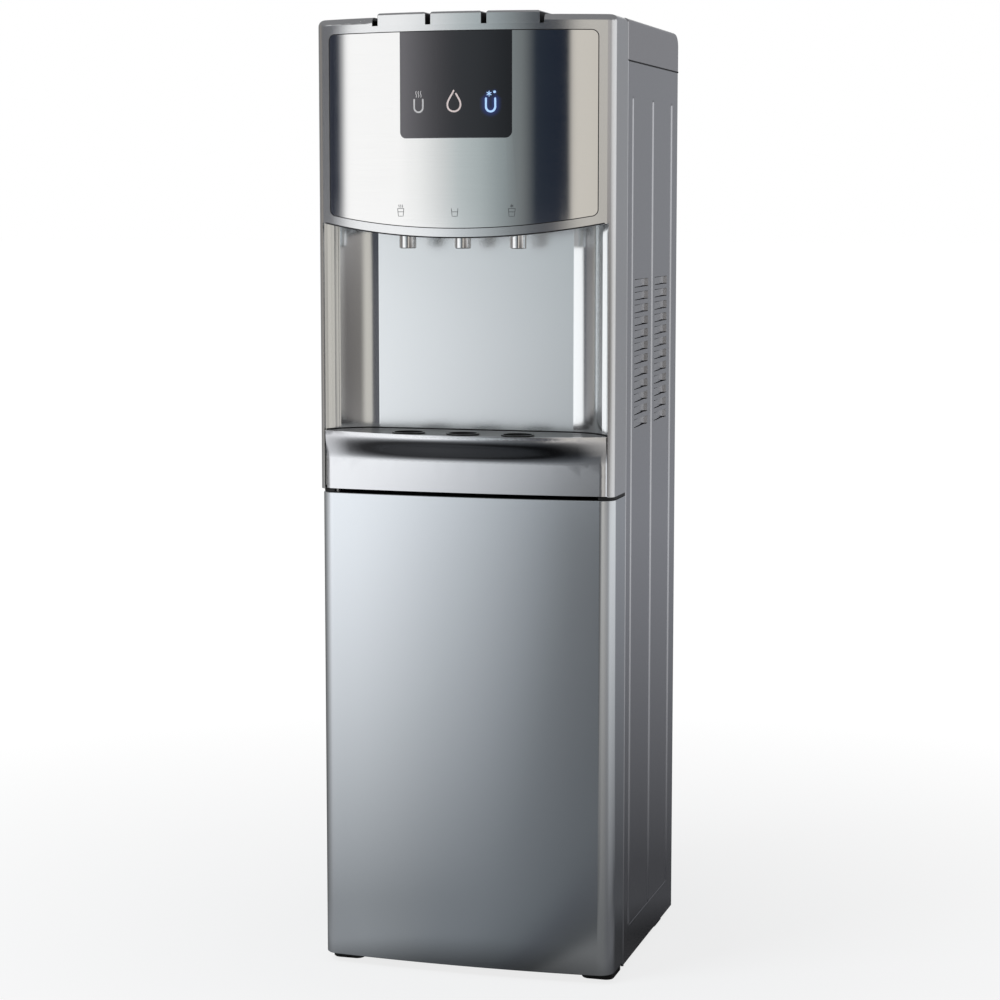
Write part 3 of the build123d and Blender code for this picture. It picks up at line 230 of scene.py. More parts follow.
GROUND_BEYOND = (
    (-180, (0.26, 0.26, 0.27)), (-130, (0.22, 0.22, 0.22)), (-105, (0.25, 0.24, 0.23)),
    (-84, (0.33, 0.30, 0.27)), (-79, (0.25, 0.24, 0.235)), (-66, (0.21, 0.205, 0.21)),
    (-63, (0.09, 0.092, 0.10)), (-59.5, (0.09, 0.092, 0.10)), (-56.5, (1.0, 1.0, 1.0)),
    (-30, (1.08, 1.09, 1.10)), (-24, (1.08, 1.10, 1.12)), (-19, (0.90, 0.92, 0.95)),
    (-14, (0.68, 0.70, 0.73)), (-8, (0.50, 0.52, 0.54)), (0, (0.26, 0.27, 0.28)),
    (8, (0.09, 0.09, 0.105)), (16, (0.07, 0.07, 0.08)), (17.2, (0.58, 0.55, 0.50)),
    (28, (0.58, 0.55, 0.50)), (37, (0.135, 0.125, 0.115)), (64, (0.105, 0.095, 0.09)),
    (80, (0.26, 0.245, 0.225)), (96, (0.66, 0.65, 0.64)), (130, (0.70, 0.70, 0.70)),
    (140, (0.27, 0.275, 0.29)), (180, (0.27, 0.275, 0.29)),
)


# Shader nodes


class Wire:
    """A shader socket that takes part in Python arithmetic."""

    def __init__(self, sheet, socket):
        self.sheet = sheet
        self.socket = socket

    def math(self, operation, *others):
        return self.sheet.math(operation, self, *others)

    def other(self, name):
        """Another output of the same node."""
        return Wire(self.sheet, self.socket.node.outputs[name])

    def __add__(self, other):
        return self.math("ADD", other)

    def __radd__(self, other):
        return self.sheet.math("ADD", other, self)

    def __sub__(self, other):
        return self.math("SUBTRACT", other)

    def __rsub__(self, other):
        return self.sheet.math("SUBTRACT", other, self)

    def __mul__(self, other):
        return self.math("MULTIPLY", other)

    def __rmul__(self, other):
        return self.sheet.math("MULTIPLY", other, self)

    def __truediv__(self, other):
        return self.math("DIVIDE", other)

    def __pow__(self, other):
        return self.math("POWER", other)

    def __abs__(self):
        return self.math("ABSOLUTE")

    def held(self):
        """The value kept between 0 and 1."""
        return self.math("MAXIMUM", 0.0).math("MINIMUM", 1.0)

    def ramp(self, start, span):
        """0 at start and 1 a span further on."""
        return ((self - start) / span).held()


class Sheet:
    """The node tree of one material or of the world."""

    def __init__(self, tree):
        self.tree = tree
        tree.nodes.clear()

    def node(self, kind, settings=None, sockets=None, output=0):
        """New node with its settings and socket values; gives one of its outputs."""
        made = self.tree.nodes.new(kind)
        for name, value in (settings or {}).items():
            if name == "stops":
                self.stops(made.color_ramp, value)
            else:
                setattr(made, name, value)
        for name, value in (sockets or {}).items():
            if isinstance(value, Wire):
                self.tree.links.new(value.socket, made.inputs[name])
            else:
                made.inputs[name].default_value = value
        return Wire(self, made.outputs[output]) if made.outputs else None

    def stops(self, ramp, stops):
        """Sets the colours of a ramp."""
        while len(ramp.elements) < len(stops):
            ramp.elements.new(1.0)
        for element, (position, colour) in zip(ramp.elements, stops):
            element.position = position
            element.color = rgba(colour)

    def math(self, operation, *values):
        return self.node("ShaderNodeMath", {"operation": operation}, dict(enumerate(values)))

    def mix(self, low, high, factor):
        """Colour between low and high."""
        settings = {"data_type": "RGBA"}
        return self.node("ShaderNodeMix", settings, {0: factor, 6: rgba(low), 7: rgba(high)}, output=2)

    def place(self, stretch=(1.0, 1.0, 1.0)):
        """Point of the object in metres, stretched along its axes."""
        point = self.node("ShaderNodeTexCoord").other("Object")
        return self.node("ShaderNodeVectorMath", {"operation": "MULTIPLY"}, {0: point, 1: stretch})

    def axes(self, vector):
        """The three parts of a vector."""
        split = self.node("ShaderNodeSeparateXYZ", None, {0: vector})
        return split, split.other("Y"), split.other("Z")

    def noise(self, scale, stretch=(1.0, 1.0, 1.0), detail=2.0, roughness=0.5):
        sockets = {"Scale": scale, "Detail": detail, "Roughness": roughness, "Vector": self.place(stretch)}
        return self.node("ShaderNodeTexNoise", None, sockets)

    def cells(self, scale):
        """Value that changes from cell to cell."""
        sockets = {"Vector": self.place(), "Scale": scale}
        colour = self.node("ShaderNodeTexVoronoi", None, sockets).other("Color")
        return self.node("ShaderNodeSeparateColor", None, {0: colour})

    def bump(self, height, strength, distance):
        sockets = {"Strength": strength, "Distance": distance, "Height": height}
        return self.node("ShaderNodeBump", None, sockets)


def rgba(colour):
    """Colour with full opacity; links pass through."""
    if isinstance(colour, Wire) or len(colour) == 4:
        return colour
    return (*colour, 1.0)


def scaled(colour, factor):
    """Colour made lighter or darker."""
    return tuple(min(1.0, part * factor) for part in colour[:3])


def finish(name, build):
    """Material whose shader sockets come from build(sheet)."""
    material = bpy.data.materials.new(name)
    material.use_nodes = True
    sheet = Sheet(material.node_tree)
    shader = sheet.node("ShaderNodeBsdfPrincipled", None, build(sheet))
    sheet.node("ShaderNodeOutputMaterial", None, {"Surface": shader})
    return material


# Finishes


def brushed_steel(colour, rough):
    """Hairlines along X, as on rolled sheet."""

    def build(sheet):
        hairs = sheet.noise(1.0, (14.0, 14.0, 2600.0), 3.0, 0.6)
        drift = sheet.noise(9.0, (1.0, 1.0, 4.0))
        shade = (hairs * 0.75 + drift * 0.25).held()
        return {
            "Base Color": sheet.mix(scaled(colour, 0.95), scaled(colour, 1.05), shade),
            "Metallic": 1.0,
            "Roughness": rough + 0.03 * (hairs - 0.5) + 0.02 * (drift - 0.5),
            "Normal": sheet.bump(hairs, 0.01, 0.0001),
        }

    return build


def silver_paint(colour, rough):
    """Satin silver lacquer: fine flakes under a slightly uneven skin."""

    def build(sheet):
        flakes = sheet.cells(4200.0)
        skin = sheet.noise(520.0, detail=3.0)
        drift = sheet.noise(6.0)
        shade = (flakes * 0.5 + drift * 0.5).held()
        return {
            "Base Color": sheet.mix(scaled(colour, 0.97), scaled(colour, 1.03), shade),
            "Metallic": 0.95,
            "Roughness": rough + 0.02 * (flakes - 0.5) + 0.03 * (drift - 0.5),
            "Normal": sheet.bump(skin, 0.01, 0.0001),
        }

    return build


def key_paint(colour, rough, dark):
    """Silver lacquer on a key's top and front; its sides are painted dark and dull as the shade in the
    gaps between the keys.
    """

    def build(sheet):
        sockets = silver_paint(colour, rough)(sheet)
        x = sheet.axes(sheet.place())[0]
        across = abs(x - (x / KEY_PITCH).math("ROUND") * KEY_PITCH)
        # Painted shade: the key's sides go dark and dull, for the shadow in the gaps between the keys
        side_shade = across.ramp(KEY_HALF - KEY_SIDE_SHADE, SHARP)
        sockets["Base Color"] = sheet.mix(sockets["Base Color"], dark, side_shade)
        sockets["Metallic"] = 0.95 * (1 - side_shade)
        sockets["Roughness"] = sockets["Roughness"] + 0.35 * side_shade
        return sockets

    return build


def lip_shade_paint(colour, rough, dark):
    """Silver lacquer, painted dark as shade where its surface faces down under the overhanging lip."""

    def build(sheet):
        sockets = silver_paint(colour, rough)(sheet)
        slope = sheet.axes(sheet.node("ShaderNodeNewGeometry").other("Normal"))[2]
        x = sheet.axes(sheet.place())[0]
        # Painted shade: surfaces facing down under the lip turn dark, fading out towards the tray's ends
        lip_shade = slope.ramp(LIP_SHADE_SLOPE, -LIP_SHADE_SPREAD) * abs(x).ramp(LIP_SHADE_HALF, -LIP_SHADE_FADE)
        sockets["Base Color"] = sheet.mix(sockets["Base Color"], dark, lip_shade)
        return sockets

    return build


def bowed_lining(colour, rough):
    """Silver lacquer on the niche: its back swells a little and its outer edges turn to the front."""

    def build(sheet):
        sockets = silver_paint(colour, rough)(sheet)
        side = abs(sheet.axes(sheet.place())[0])
        across = side.math("MINIMUM", COVE_X)
        edge = (side - NICHE_EDGE).math("MAXIMUM", 0.0)
        height = across * across * -1.0 - edge * (edge * EDGE_CURVE + EDGE_TURN)
        sockets["Roughness"] = sockets["Roughness"] + 0.1 * side.ramp(COVE_X, -1 * MM)
        sockets["Normal"] = sheet.bump(height, 1.0, SWELL)
        return sockets

    return build


def drip_plate(colour, rim, dark):
    """Dark moulded plate: a pale ring round each of its three holes is a painted highlight on the edge,
    and the black inside them is painted shade.
    """

    def build(sheet):
        sockets = moulded(colour, 0.4, 700.0, 0.05)(sheet)
        x, y = sheet.axes(sheet.place())[:2]
        column = (x / KEY_PITCH).math("ROUND").math("MAXIMUM", -1.0).math("MINIMUM", 1.0)
        across = x - column * KEY_PITCH
        along = y - SPOUT_Y
        away = (across * across + along * along).math("SQRT") - DRIP_RADIUS
        # Painted highlight: a pale ring just outside each hole's edge
        ring = (1 - abs(away - DRIP_HIGHLIGHT) / DRIP_HIGHLIGHT).held()
        # Painted shade: black at each hole's edge and inside it
        inside = away.ramp(SHARP, -SHARP)
        plate = sheet.mix(sockets["Base Color"], rim, ring)
        sockets["Base Color"] = sheet.mix(plate, dark, inside)
        return sockets

    return build


def moulded(colour, rough, grain=900.0, depth=0.08, drift_share=0.05):
    """Plastic with the fine grain of its mould."""

    def build(sheet):
        pores = sheet.noise(grain, detail=3.0, roughness=0.6)
        drift = sheet.noise(11.0)
        shade = (drift * 0.6 + pores * 0.4).held()
        low, high = scaled(colour, 1 - drift_share), scaled(colour, 1 + drift_share)
        return {
            "Base Color": sheet.mix(low, high, shade),
            "Roughness": rough + 0.1 * (pores - 0.5),
            "Normal": sheet.bump(pores, depth, 0.0003),
        }

    return build


def powder_coat(colour, rough):
    """Baked coat on sheet steel, with a light orange peel."""

    def build(sheet):
        peel = sheet.noise(430.0)
        fleck = sheet.cells(3000.0)
        drift = sheet.noise(5.0)
        shade = (fleck * 0.35 + drift * 0.65).held()
        return {
            "Base Color": sheet.mix(scaled(colour, 0.96), scaled(colour, 1.04), shade),
            "Metallic": 0.9,
            "Roughness": rough + 0.03 * (drift - 0.5) + 0.03 * (fleck - 0.5),
            "Normal": sheet.bump(peel, 0.012, 0.0002),
        }

    return build


def zinc_sheet(colour):
    """Galvanised sheet with its spangle."""

    def build(sheet):
        spangle = sheet.cells(85.0)
        small = sheet.cells(260.0)
        shade = (spangle * 0.7 + small * 0.3).held()
        return {
            "Base Color": sheet.mix(scaled(colour, 0.82), scaled(colour, 1.12), shade),
            "Metallic": 0.85,
            "Roughness": 0.34 + 0.16 * spangle,
            "Normal": sheet.bump(small, 0.03, 0.0003),
        }

    return build


def bright_metal(colour, rough):
    """Turned or plated metal with faint rings of tool marks."""

    def build(sheet):
        marks = sheet.noise(1.0, (300.0, 300.0, 2200.0), 2.0)
        smear = sheet.noise(90.0)
        return {
            "Base Color": sheet.mix(scaled(colour, 0.92), scaled(colour, 1.05), smear),
            "Metallic": 1.0,
            "Roughness": rough + 0.05 * (marks - 0.5) + 0.05 * (smear - 0.5),
            "Normal": sheet.bump(marks, 0.02, 0.0001),
        }

    return build


def tarnished_copper(colour):
    """Bare copper with a dull bloom."""

    def build(sheet):
        bloom = sheet.noise(60.0, detail=4.0)
        return {
            "Base Color": sheet.mix(scaled(colour, 0.6), scaled(colour, 1.1), bloom),
            "Metallic": 1.0,
            "Roughness": 0.26 + 0.22 * bloom,
        }

    return build


def enamel(colour, rough):
    """Thick gloss enamel with runs and dust."""

    def build(sheet):
        runs = sheet.noise(45.0, (1.0, 1.0, 0.35), 3.0)
        dust = sheet.noise(900.0)
        return {
            "Base Color": sheet.mix(colour, scaled(colour, 2.2), (runs * 0.5 + dust * 0.3).held()),
            "Roughness": rough + 0.18 * (runs - 0.5),
            "Coat Weight": 0.4,
            "Normal": sheet.bump(runs, 0.12, 0.0006),
        }

    return build


def foamed(colour):
    """Closed-cell foam with its beads."""

    def build(sheet):
        beads = sheet.node("ShaderNodeTexVoronoi", None, {"Vector": sheet.place(), "Scale": 320.0})
        return {
            "Base Color": sheet.mix(colour, scaled(colour, 0.78), (beads * 1.1).held()),
            "Roughness": 0.85,
            "Normal": sheet.bump(1 - beads, 0.5, 0.0008),
        }

    return build


def soft_rubber(colour, rough):
    """Chalky rubber with a fine grain."""

    def build(sheet):
        chalk = sheet.noise(160.0, detail=4.0)
        grain = sheet.noise(1500.0)
        return {
            "Base Color": sheet.mix(scaled(colour, 0.8), scaled(colour, 1.5), chalk),
            "Roughness": rough + 0.12 * (chalk - 0.5),
            "Normal": sheet.bump(grain, 0.15, 0.0003),
        }

    return build


def circuit_board(colour):
    """Lacquered board with paler tracks."""

    def build(sheet):
        x, y, z = sheet.axes(sheet.place((420.0, 420.0, 420.0)))
        lines = ((x + z + y).math("SINE") * (x - z - y).math("SINE")).math("GREATER_THAN", 0.55)
        wear = sheet.noise(80.0)
        return {
            "Base Color": sheet.mix(colour, scaled(colour, 1.9), (lines * 0.7 + wear * 0.2).held()),
            "Roughness": 0.35 + 0.15 * wear,
        }

    return build


def smoked_window(colour, pane_reflection, glow):
    """Gloss display pane with a painted reflection that lightens it towards its left, lit round the blue
    pictogram on its right.
    """

    def build(sheet):
        x, _, z = sheet.axes(sheet.place())
        across = x - ICON_COLUMNS[2]
        below = (z - (ICON_LEVEL + GLOW_LOW * MM)).math("MINIMUM", 0.0)
        ring = abs((across * across + below * below).math("SQRT") - ICON_CUP * MM)
        over = (z - (ICON_LEVEL + GLOW_HIGH * MM)).math("MAXIMUM", 0.0)
        halo = (1 - (ring + over) / (CUP_GLOW * MM)).held() ** 1.5
        for (shift, level), reach in ((STAR, STAR_GLOW), (DOT, DOT_GLOW)):
            side = across - shift * MM
            rise = z - (ICON_LEVEL + level * MM)
            spot = (1 - (side * side + rise * rise).math("SQRT") / (reach * MM)).held()
            halo = halo + spot * spot
        # Painted reflection: the pane lightens towards its left
        reflection_share = x.ramp(REFLECTION_START, -REFLECTION_SPAN) ** 2.0
        wipes = sheet.noise(26.0, (1.0, 1.0, 0.5), 3.0)
        smoke = sheet.mix(colour, scaled(colour, 1.25), wipes)
        return {
            "Base Color": sheet.mix(smoke, pane_reflection, reflection_share),
            "Roughness": 0.07 + 0.04 * wipes,
            "IOR": 1.75,
            "Specular Tint": (0.94, 0.92, 1.0, 1.0),
            "Emission Color": sheet.mix((0.0, 0.0, 0.0), glow, halo.held()),
            "Emission Strength": 1.0,
        }

    return build


def lit_print(colour, strength):
    """Pictogram lit from behind, a little uneven."""

    def build(sheet):
        cloud = sheet.noise(700.0)
        return {
            "Base Color": sheet.mix(scaled(colour, 0.85), colour, cloud),
            "Roughness": 0.4,
            "Emission Color": sheet.mix(scaled(colour, 0.8), colour, cloud),
            "Emission Strength": strength,
        }

    return build


# Mesh helpers


def on_bow(x, z, lift):
    """Point on the bowed front, lift metres proud of it."""
    return Vector((x, BOW_CENTRE - math.sqrt((BOW_RADIUS + lift) ** 2 - x * x), z))


def stations(line, half):
    """Points, directions and half widths along a stroke, with round ends."""
    points = [Vector(point) for point in line]
    directions = []
    for index in range(len(points)):
        ahead = points[min(index + 1, len(points) - 1)]
        behind = points[max(index - 1, 0)]
        directions.append((ahead - behind).normalized())
    caps = [(math.sin(step * math.pi / 10), math.cos(step * math.pi / 10)) for step in range(1, 5)]
    caps.append((1.0, 0.12))
    first, last = directions[0], directions[-1]
    rows = [(points[0] - first * half * reach, first, half * share) for reach, share in caps[::-1]]
    rows += [(point, direction, half) for point, direction in zip(points, directions)]
    rows += [(points[-1] + last * half * reach, last, half * share) for reach, share in caps]
    return rows


def stroke(mesh, line, width, surface, rise):
    """Closed raised ribbon along a line drawn on a surface."""
    rings = []
    for point, direction, half in stations(line, width / 2):
        side = Vector((-direction.y, direction.x)) * half
        ring = []
        for edge, lift in ((1, rise), (-1, rise), (-1, -SINK), (1, -SINK)):
            place = point + side * edge
            ring.append(mesh.verts.new(surface(place.x, place.y, lift)))
        rings.append(ring)
    for ring, following in zip(rings, rings[1:]):
        for corner in range(4):
            after = (corner + 1) % 4
            mesh.faces.new((ring[corner], ring[after], following[after], following[corner]))
    mesh.faces.new(rings[0][::-1])
    mesh.faces.new(rings[-1])


def bezier(a, b, c, d):
    """Points along a cubic curve, its start left out."""
    points = []
    steps = 10
    for step in range(1, steps + 1):
        t = step / steps
        weights = ((1 - t) ** 3, 3 * t * (1 - t) ** 2, 3 * t * t * (1 - t), t**3)
        shares = list(zip(weights, (a, b, c, d)))
        points.append(tuple(sum(weight * point[axis] for weight, point in shares) for axis in (0, 1)))
    return points


def piece(name, mesh, body, material):
    """Object from a bmesh, riding on a body."""
    bmesh.ops.recalc_face_normals(mesh, faces=mesh.faces)
    data = bpy.data.meshes.new(name)
    mesh.to_mesh(data)
    mesh.free()
    made = bpy.data.objects.new(name, data)
    bpy.context.scene.collection.objects.link(made)
    data.materials.append(material)
    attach(made, body)


def placed(line, x, z):
    """A line drawn in millimetres, moved to its place in metres."""
    return [(x + px * MM, z + pz * MM) for px, pz in line]


def cup_line(half, height):
    """U-shaped cup, from its left lip round to its right lip."""
    line = [(-half, height), (-half, height * 0.7), (-half, half)]
    for step in range(1, 16):
        angle = math.pi + math.pi * step / 16
        line.append((half * math.cos(angle), half + half * math.sin(angle)))
    return line + [(half, half), (half, height * 0.7), (half, height)]


def wisp(x, low, high, sway):
    """Wavy upright line."""
    points = []
    for step in range(13):
        t = step / 12
        points.append((x + sway * math.sin(2 * math.pi * t), low + (high - low) * t))
    return points


def star_lines(x, z, reach, turns=(90, 150, 210)):
    """Lines that cross in one point, one for each turn in degrees."""
    lines = []
    for turn in turns:
        angle = math.radians(turn)
        dx, dz = reach * math.cos(angle), reach * math.sin(angle)
        lines.append([(x - dx, z - dz), (x, z), (x + dx, z + dz)])
    return lines


def turned(centre, radius, start, end, steps=8):
    """Points on an arc, angles in radians from +X."""
    points = []
    for step in range(steps + 1):
        angle = start + (end - start) * step / steps
        points.append((centre[0] + radius * math.cos(angle), centre[1] + radius * math.sin(angle)))
    return points


def on_level(height):
    """Surface of a level plane."""

    def surface(x, y, lift):
        return Vector((x, y, height + lift))

    return surface


def on_rocker(pivot):
    """Surface of a rocker's face, tilted about its pivot."""
    rise, run = math.sin(ROCKER_TILT), math.cos(ROCKER_TILT)

    def surface(x, z, lift):
        y = ROCKER_FACE + lift
        return pivot + Vector((x, run * y - rise * z, rise * y + run * z))

    return surface


def on_tray_front(x, z, lift):
    """Point on the front of the drip tray, lift metres proud of it."""
    reach = NICHE_HALF - 0.05 * MM
    start = (max(-reach, min(x, reach)), -1.0, z)
    hit, place = frame["nodes"]["drip_tray"].ray_cast(start, (0.0, 1.0, 0.0))[:2]
    if not hit:
        raise RuntimeError("no tray at %.4f %.4f" % (x, z))
    return Vector((x, place.y - lift, z))


def smile(x):
    """Height of the steel's lower edge at x."""
    return FASCIA[0][2] + SMILE_RADIUS - math.sqrt(SMILE_RADIUS**2 - x * x)


def fascia_line():
    """Outline of the steel, from the middle of its top edge round to the same place."""
    half, top, corner = FASCIA[1][0], FASCIA[1][2], FASCIA_CORNER
    inner = half - corner
    quarter = math.pi / 2
    steps = 40
    right = [(inner * step / steps, top) for step in range(steps)]
    right += turned((inner, top - corner), corner, quarter, 0.0)
    right += turned((inner, smile(inner) + corner), corner, 0.0, -quarter)
    for step in range(1, steps + 1):
        x = inner * (1 - step / steps)
        right.append((x, smile(x)))
    return right + [(-x, z) for x, z in right[-2::-1]]


def niche_line(inset):
    """Line along the back of the niche and its two coves, drawn in by inset."""
    radius = COVE_RADIUS - inset
    across, along = COVE_RADIUS * math.sin(COVE_CREASE), COVE_RADIUS * math.cos(COVE_CREASE)
    centre = (COVE_X - across, NICHE_BACK - along)
    end = math.acos((NICHE_HALF - inset - centre[0]) / radius)
    right = turned(centre, radius, end, math.pi / 2 - COVE_CREASE, 14)
    return right + [(-x, y) for x, y in right[::-1]]


def dress(finishes):
    """Puts each finish on its CAD nodes."""
    for name, (build, nodes) in finishes.items():
        material = finish(name, build)
        for node in nodes:
            slots = frame["nodes"][node].material_slots
            if not slots:
                raise RuntimeError("no material slot on " + node)
            for entry in slots:
                entry.material = material


# Properties


def tint(label, words, default):
    """Colour property."""
    return FloatVectorProperty(
        name=label, description=words, subtype="COLOR", size=3, min=0, max=1, default=default
    )


def length(label, words, default):
    """Length property, its default in millimetres."""
    return FloatProperty(name=label, description=words, unit="LENGTH", default=default * MM)


def level(label, words, default):
    """Property of a light's power or strength."""
    return FloatProperty(name=label, description=words, default=default)


class DispenserFinishes(bpy.types.PropertyGroup):
    """Colours of the dispenser's surfaces."""

    steel: tint("Steel", "Brushed steel of the fascia", (0.93, 0.93, 0.925))
    display: tint("Display", "Smoked display pane", (0.004, 0.004, 0.005))
    # Colour of the reflection painted at the left of the display
    pane_reflection: tint("Display Haze", "Lit haze at the left of the display", (0.15, 0.147, 0.156))
    frame: tint("Frame", "Silver lacquer of the front frame", (0.87, 0.88, 0.89))
    key: tint("Keys", "Silver lacquer of the three keys", (0.88, 0.89, 0.90))
    niche: tint("Niche", "Silver lining of the niche", (0.92, 0.945, 0.96))
    tray: tint("Tray", "Silver lacquer of the drip tray", (0.88, 0.89, 0.91))
    # Colour of the shade painted under the tray's lip
    lip_shade: tint("Grip", "Dark grip under the tray's lip", (0.12, 0.121, 0.127))
    grille: tint("Grille", "Dark grey drip grille", (0.17, 0.175, 0.18))
    door: tint("Door", "Silver lacquer of the door", (0.86, 0.90, 0.935))
    liner: tint("Liner", "Moulded grey inside the bottle bay", (0.42, 0.44, 0.45))
    side: tint("Sides", "Coated side panels", (0.63, 0.64, 0.67))
    cover: tint("Cover", "Coated top cover", (0.66, 0.655, 0.675))
    black: tint("Black", "Black fittings", (0.018, 0.018, 0.019))


class DispenserMarks(bpy.types.PropertyGroup):
    """Sizes and colours of the printed marks."""

    icon_stroke: length("Pictogram Stroke", "Line width of the display pictograms", 1.8)
    cup_stroke: length("Cup Stroke", "Line width of the marks on the steel", 0.6)
    rise: length("Print Height", "How far the print stands proud", 0.08)
    # Width of the dark strips in the joints, which paint shade
    joint_shade_width: length("Seal Width", "Width of the dark seals", 0.9)
    # Width of the dark strip that paints shade along the rim's lower edge
    rim_shade: length("Rim Seal", "Width of the seal along the rim's lower edge", 1.4)
    grommet_rise: length("Grommet Height", "Height of the drip holes' grommets", 1.8)
    # Width of the dark hairlines that paint the shade in the gaps beside the tray
    tray_edge_shade: length("Edge Seal", "Width of the hairlines beside the tray", 0.7)
    # Height of the dark strip that paints the shade in the joint under the cover
    cover_joint_shade: length("Cover Seal", "Height of the joint under the cover", 1.2)
    # Height of the dark strip that paints the shade in the gap at the back of the tray
    tray_joint_shade: length("Tray Seal", "Height of the seal at the back of the tray", 1.3)
    pale: tint("Pale Print", "Pictograms that are off", (0.62, 0.62, 0.63))
    rosy: tint("Drop Print", "Drop pictogram", (0.78, 0.68, 0.67))
    lit: tint("Lit Print", "Pictogram that is on", (0.42, 0.64, 0.95))
    glow: tint("Glow", "Light round the lit pictogram", (0.012, 0.028, 0.16))
    etched: tint("Etched", "Marks on the steel", (0.16, 0.17, 0.18))


class DispenserStage(bpy.types.PropertyGroup):
    """Light and floor."""

    key_power: level("Key Light", "Power of the high left lamp", 18.0)
    fill_power: level("Fill Light", "Power of the front lamp", 4.0)
    room_level: level("Room Level", "Strength of the studio round the object", 1.0)
    ceiling: tint("Ceiling", "Dim ceiling over the object", (0.20, 0.20, 0.205))
    floor_shade: tint("Floor", "Floor close to the object", (0.17, 0.18, 0.19))


# Operators


class DISPENSER_OT_shell(bpy.types.Operator):
    """Finish the front, door, tray, keys and sides"""

    bl_idname = "dispenser.shell"
    bl_label = "Shell Finishes"

    def execute(self, context):
        look = context.scene.dispenser_finishes
        marks = context.scene.dispenser_marks
        keys, spouts = (["%s_%s" % (kind, way) for way in WAYS] for kind in ("key", "spout"))
        dress({
            "steel_fascia": (brushed_steel(look.steel, 0.07), ["fascia_panel"]),
            "smoked_pane": (smoked_window(look.display, look.pane_reflection, marks.glow), ["display_window"]),
            "frame_lacquer": (silver_paint(look.frame, 0.18), ["front_frame"]),
            "key_lacquer": (key_paint(look.key, 0.18, look.black), keys),
            "niche_lining": (bowed_lining(look.niche, 0.12), ["niche_panel"]),
            "plate_lacquer": (silver_paint(look.niche, 0.24), ["spout_plate"]),
            "tray_lacquer": (lip_shade_paint(look.tray, 0.13, look.lip_shade), ["drip_tray"]),
            "grille_moulding": (drip_plate(look.grille, look.liner, look.black), ["drip_grille"]),
            "door_lacquer": (silver_paint(look.door, 0.14), ["door_shell"]),
            "bay_liner": (moulded(look.liner, 0.5), ["door_liner", "bottle_stand", "probe_clip"]),
            "side_coat": (powder_coat(look.side, 0.15), ["side_panel_right", "side_panel_left"]),
            "cover_coat": (powder_coat(look.cover, 0.2), ["top_cover"]),
            "chrome_spout": (bright_metal((0.92, 0.925, 0.93), 0.05), spouts),
            "foot_rubber": (soft_rubber((0.014, 0.014, 0.014), 0.6), ["feet"]),
        })
        return {"FINISHED"}


class DISPENSER_OT_works(bpy.types.Operator):
    """Finish the pieces inside the cabinet and on its back"""

    bl_idname = "dispenser.works"
    bl_label = "Inner Finishes"

    def execute(self, context):
        look = context.scene.dispenser_finishes
        black = ["valve_" + way for way in WAYS]
        black += ["base_pan", "tray_shelf", "pump", "switch_housings", "cord_gland"]
        black += ["drain_pipe", "drain_plug"]
        bright = ["key_spring_" + way for way in WAYS]
        bright += ["key_pin", "catch_plate", "hinge_pins", "hot_tank", "cold_tank"]
        bright += ["bottle_probe", "back_screws"]
        coated = ["compressor", "condenser_coil", "condenser_wires"]
        hoses = ["probe_hose", "room_hose", "valve_hoses"]
        dress({
            "black_moulding": (moulded(look.black, 0.5, 1100.0, 0.12, 0.3), black),
            "bright_steel": (bright_metal((0.66, 0.66, 0.66), 0.24), bright),
            "zinc": (zinc_sheet((0.52, 0.54, 0.55)), ["back_panel", "mid_deck", "tank_shelf"]),
            "board_lacquer": (circuit_board((0.02, 0.16, 0.07)), ["display_board", "key_board"]),
            "black_enamel": (enamel((0.012, 0.012, 0.013), 0.28), coated),
            "bare_copper": (tarnished_copper((0.72, 0.36, 0.21)), ["refrigerant_pipes"]),
            "white_foam": (foamed((0.84, 0.84, 0.81)), ["hot_jacket", "cold_foam"]),
            "white_hose": (soft_rubber((0.62, 0.63, 0.63), 0.4), hoses),
            "grommet_rubber": (soft_rubber((0.02, 0.02, 0.02), 0.7), ["compressor_grommets"]),
            "ferrite": (moulded((0.05, 0.05, 0.055), 0.55, 1600.0, 0.2, 0.2), ["door_magnet"]),
            "red_rocker": (moulded((0.50, 0.02, 0.02), 0.25, 700.0, 0.03), ["heat_rocker"]),
            "green_rocker": (moulded((0.02, 0.30, 0.08), 0.25, 700.0, 0.03), ["cool_rocker"]),
        })
        return {"FINISHED"}


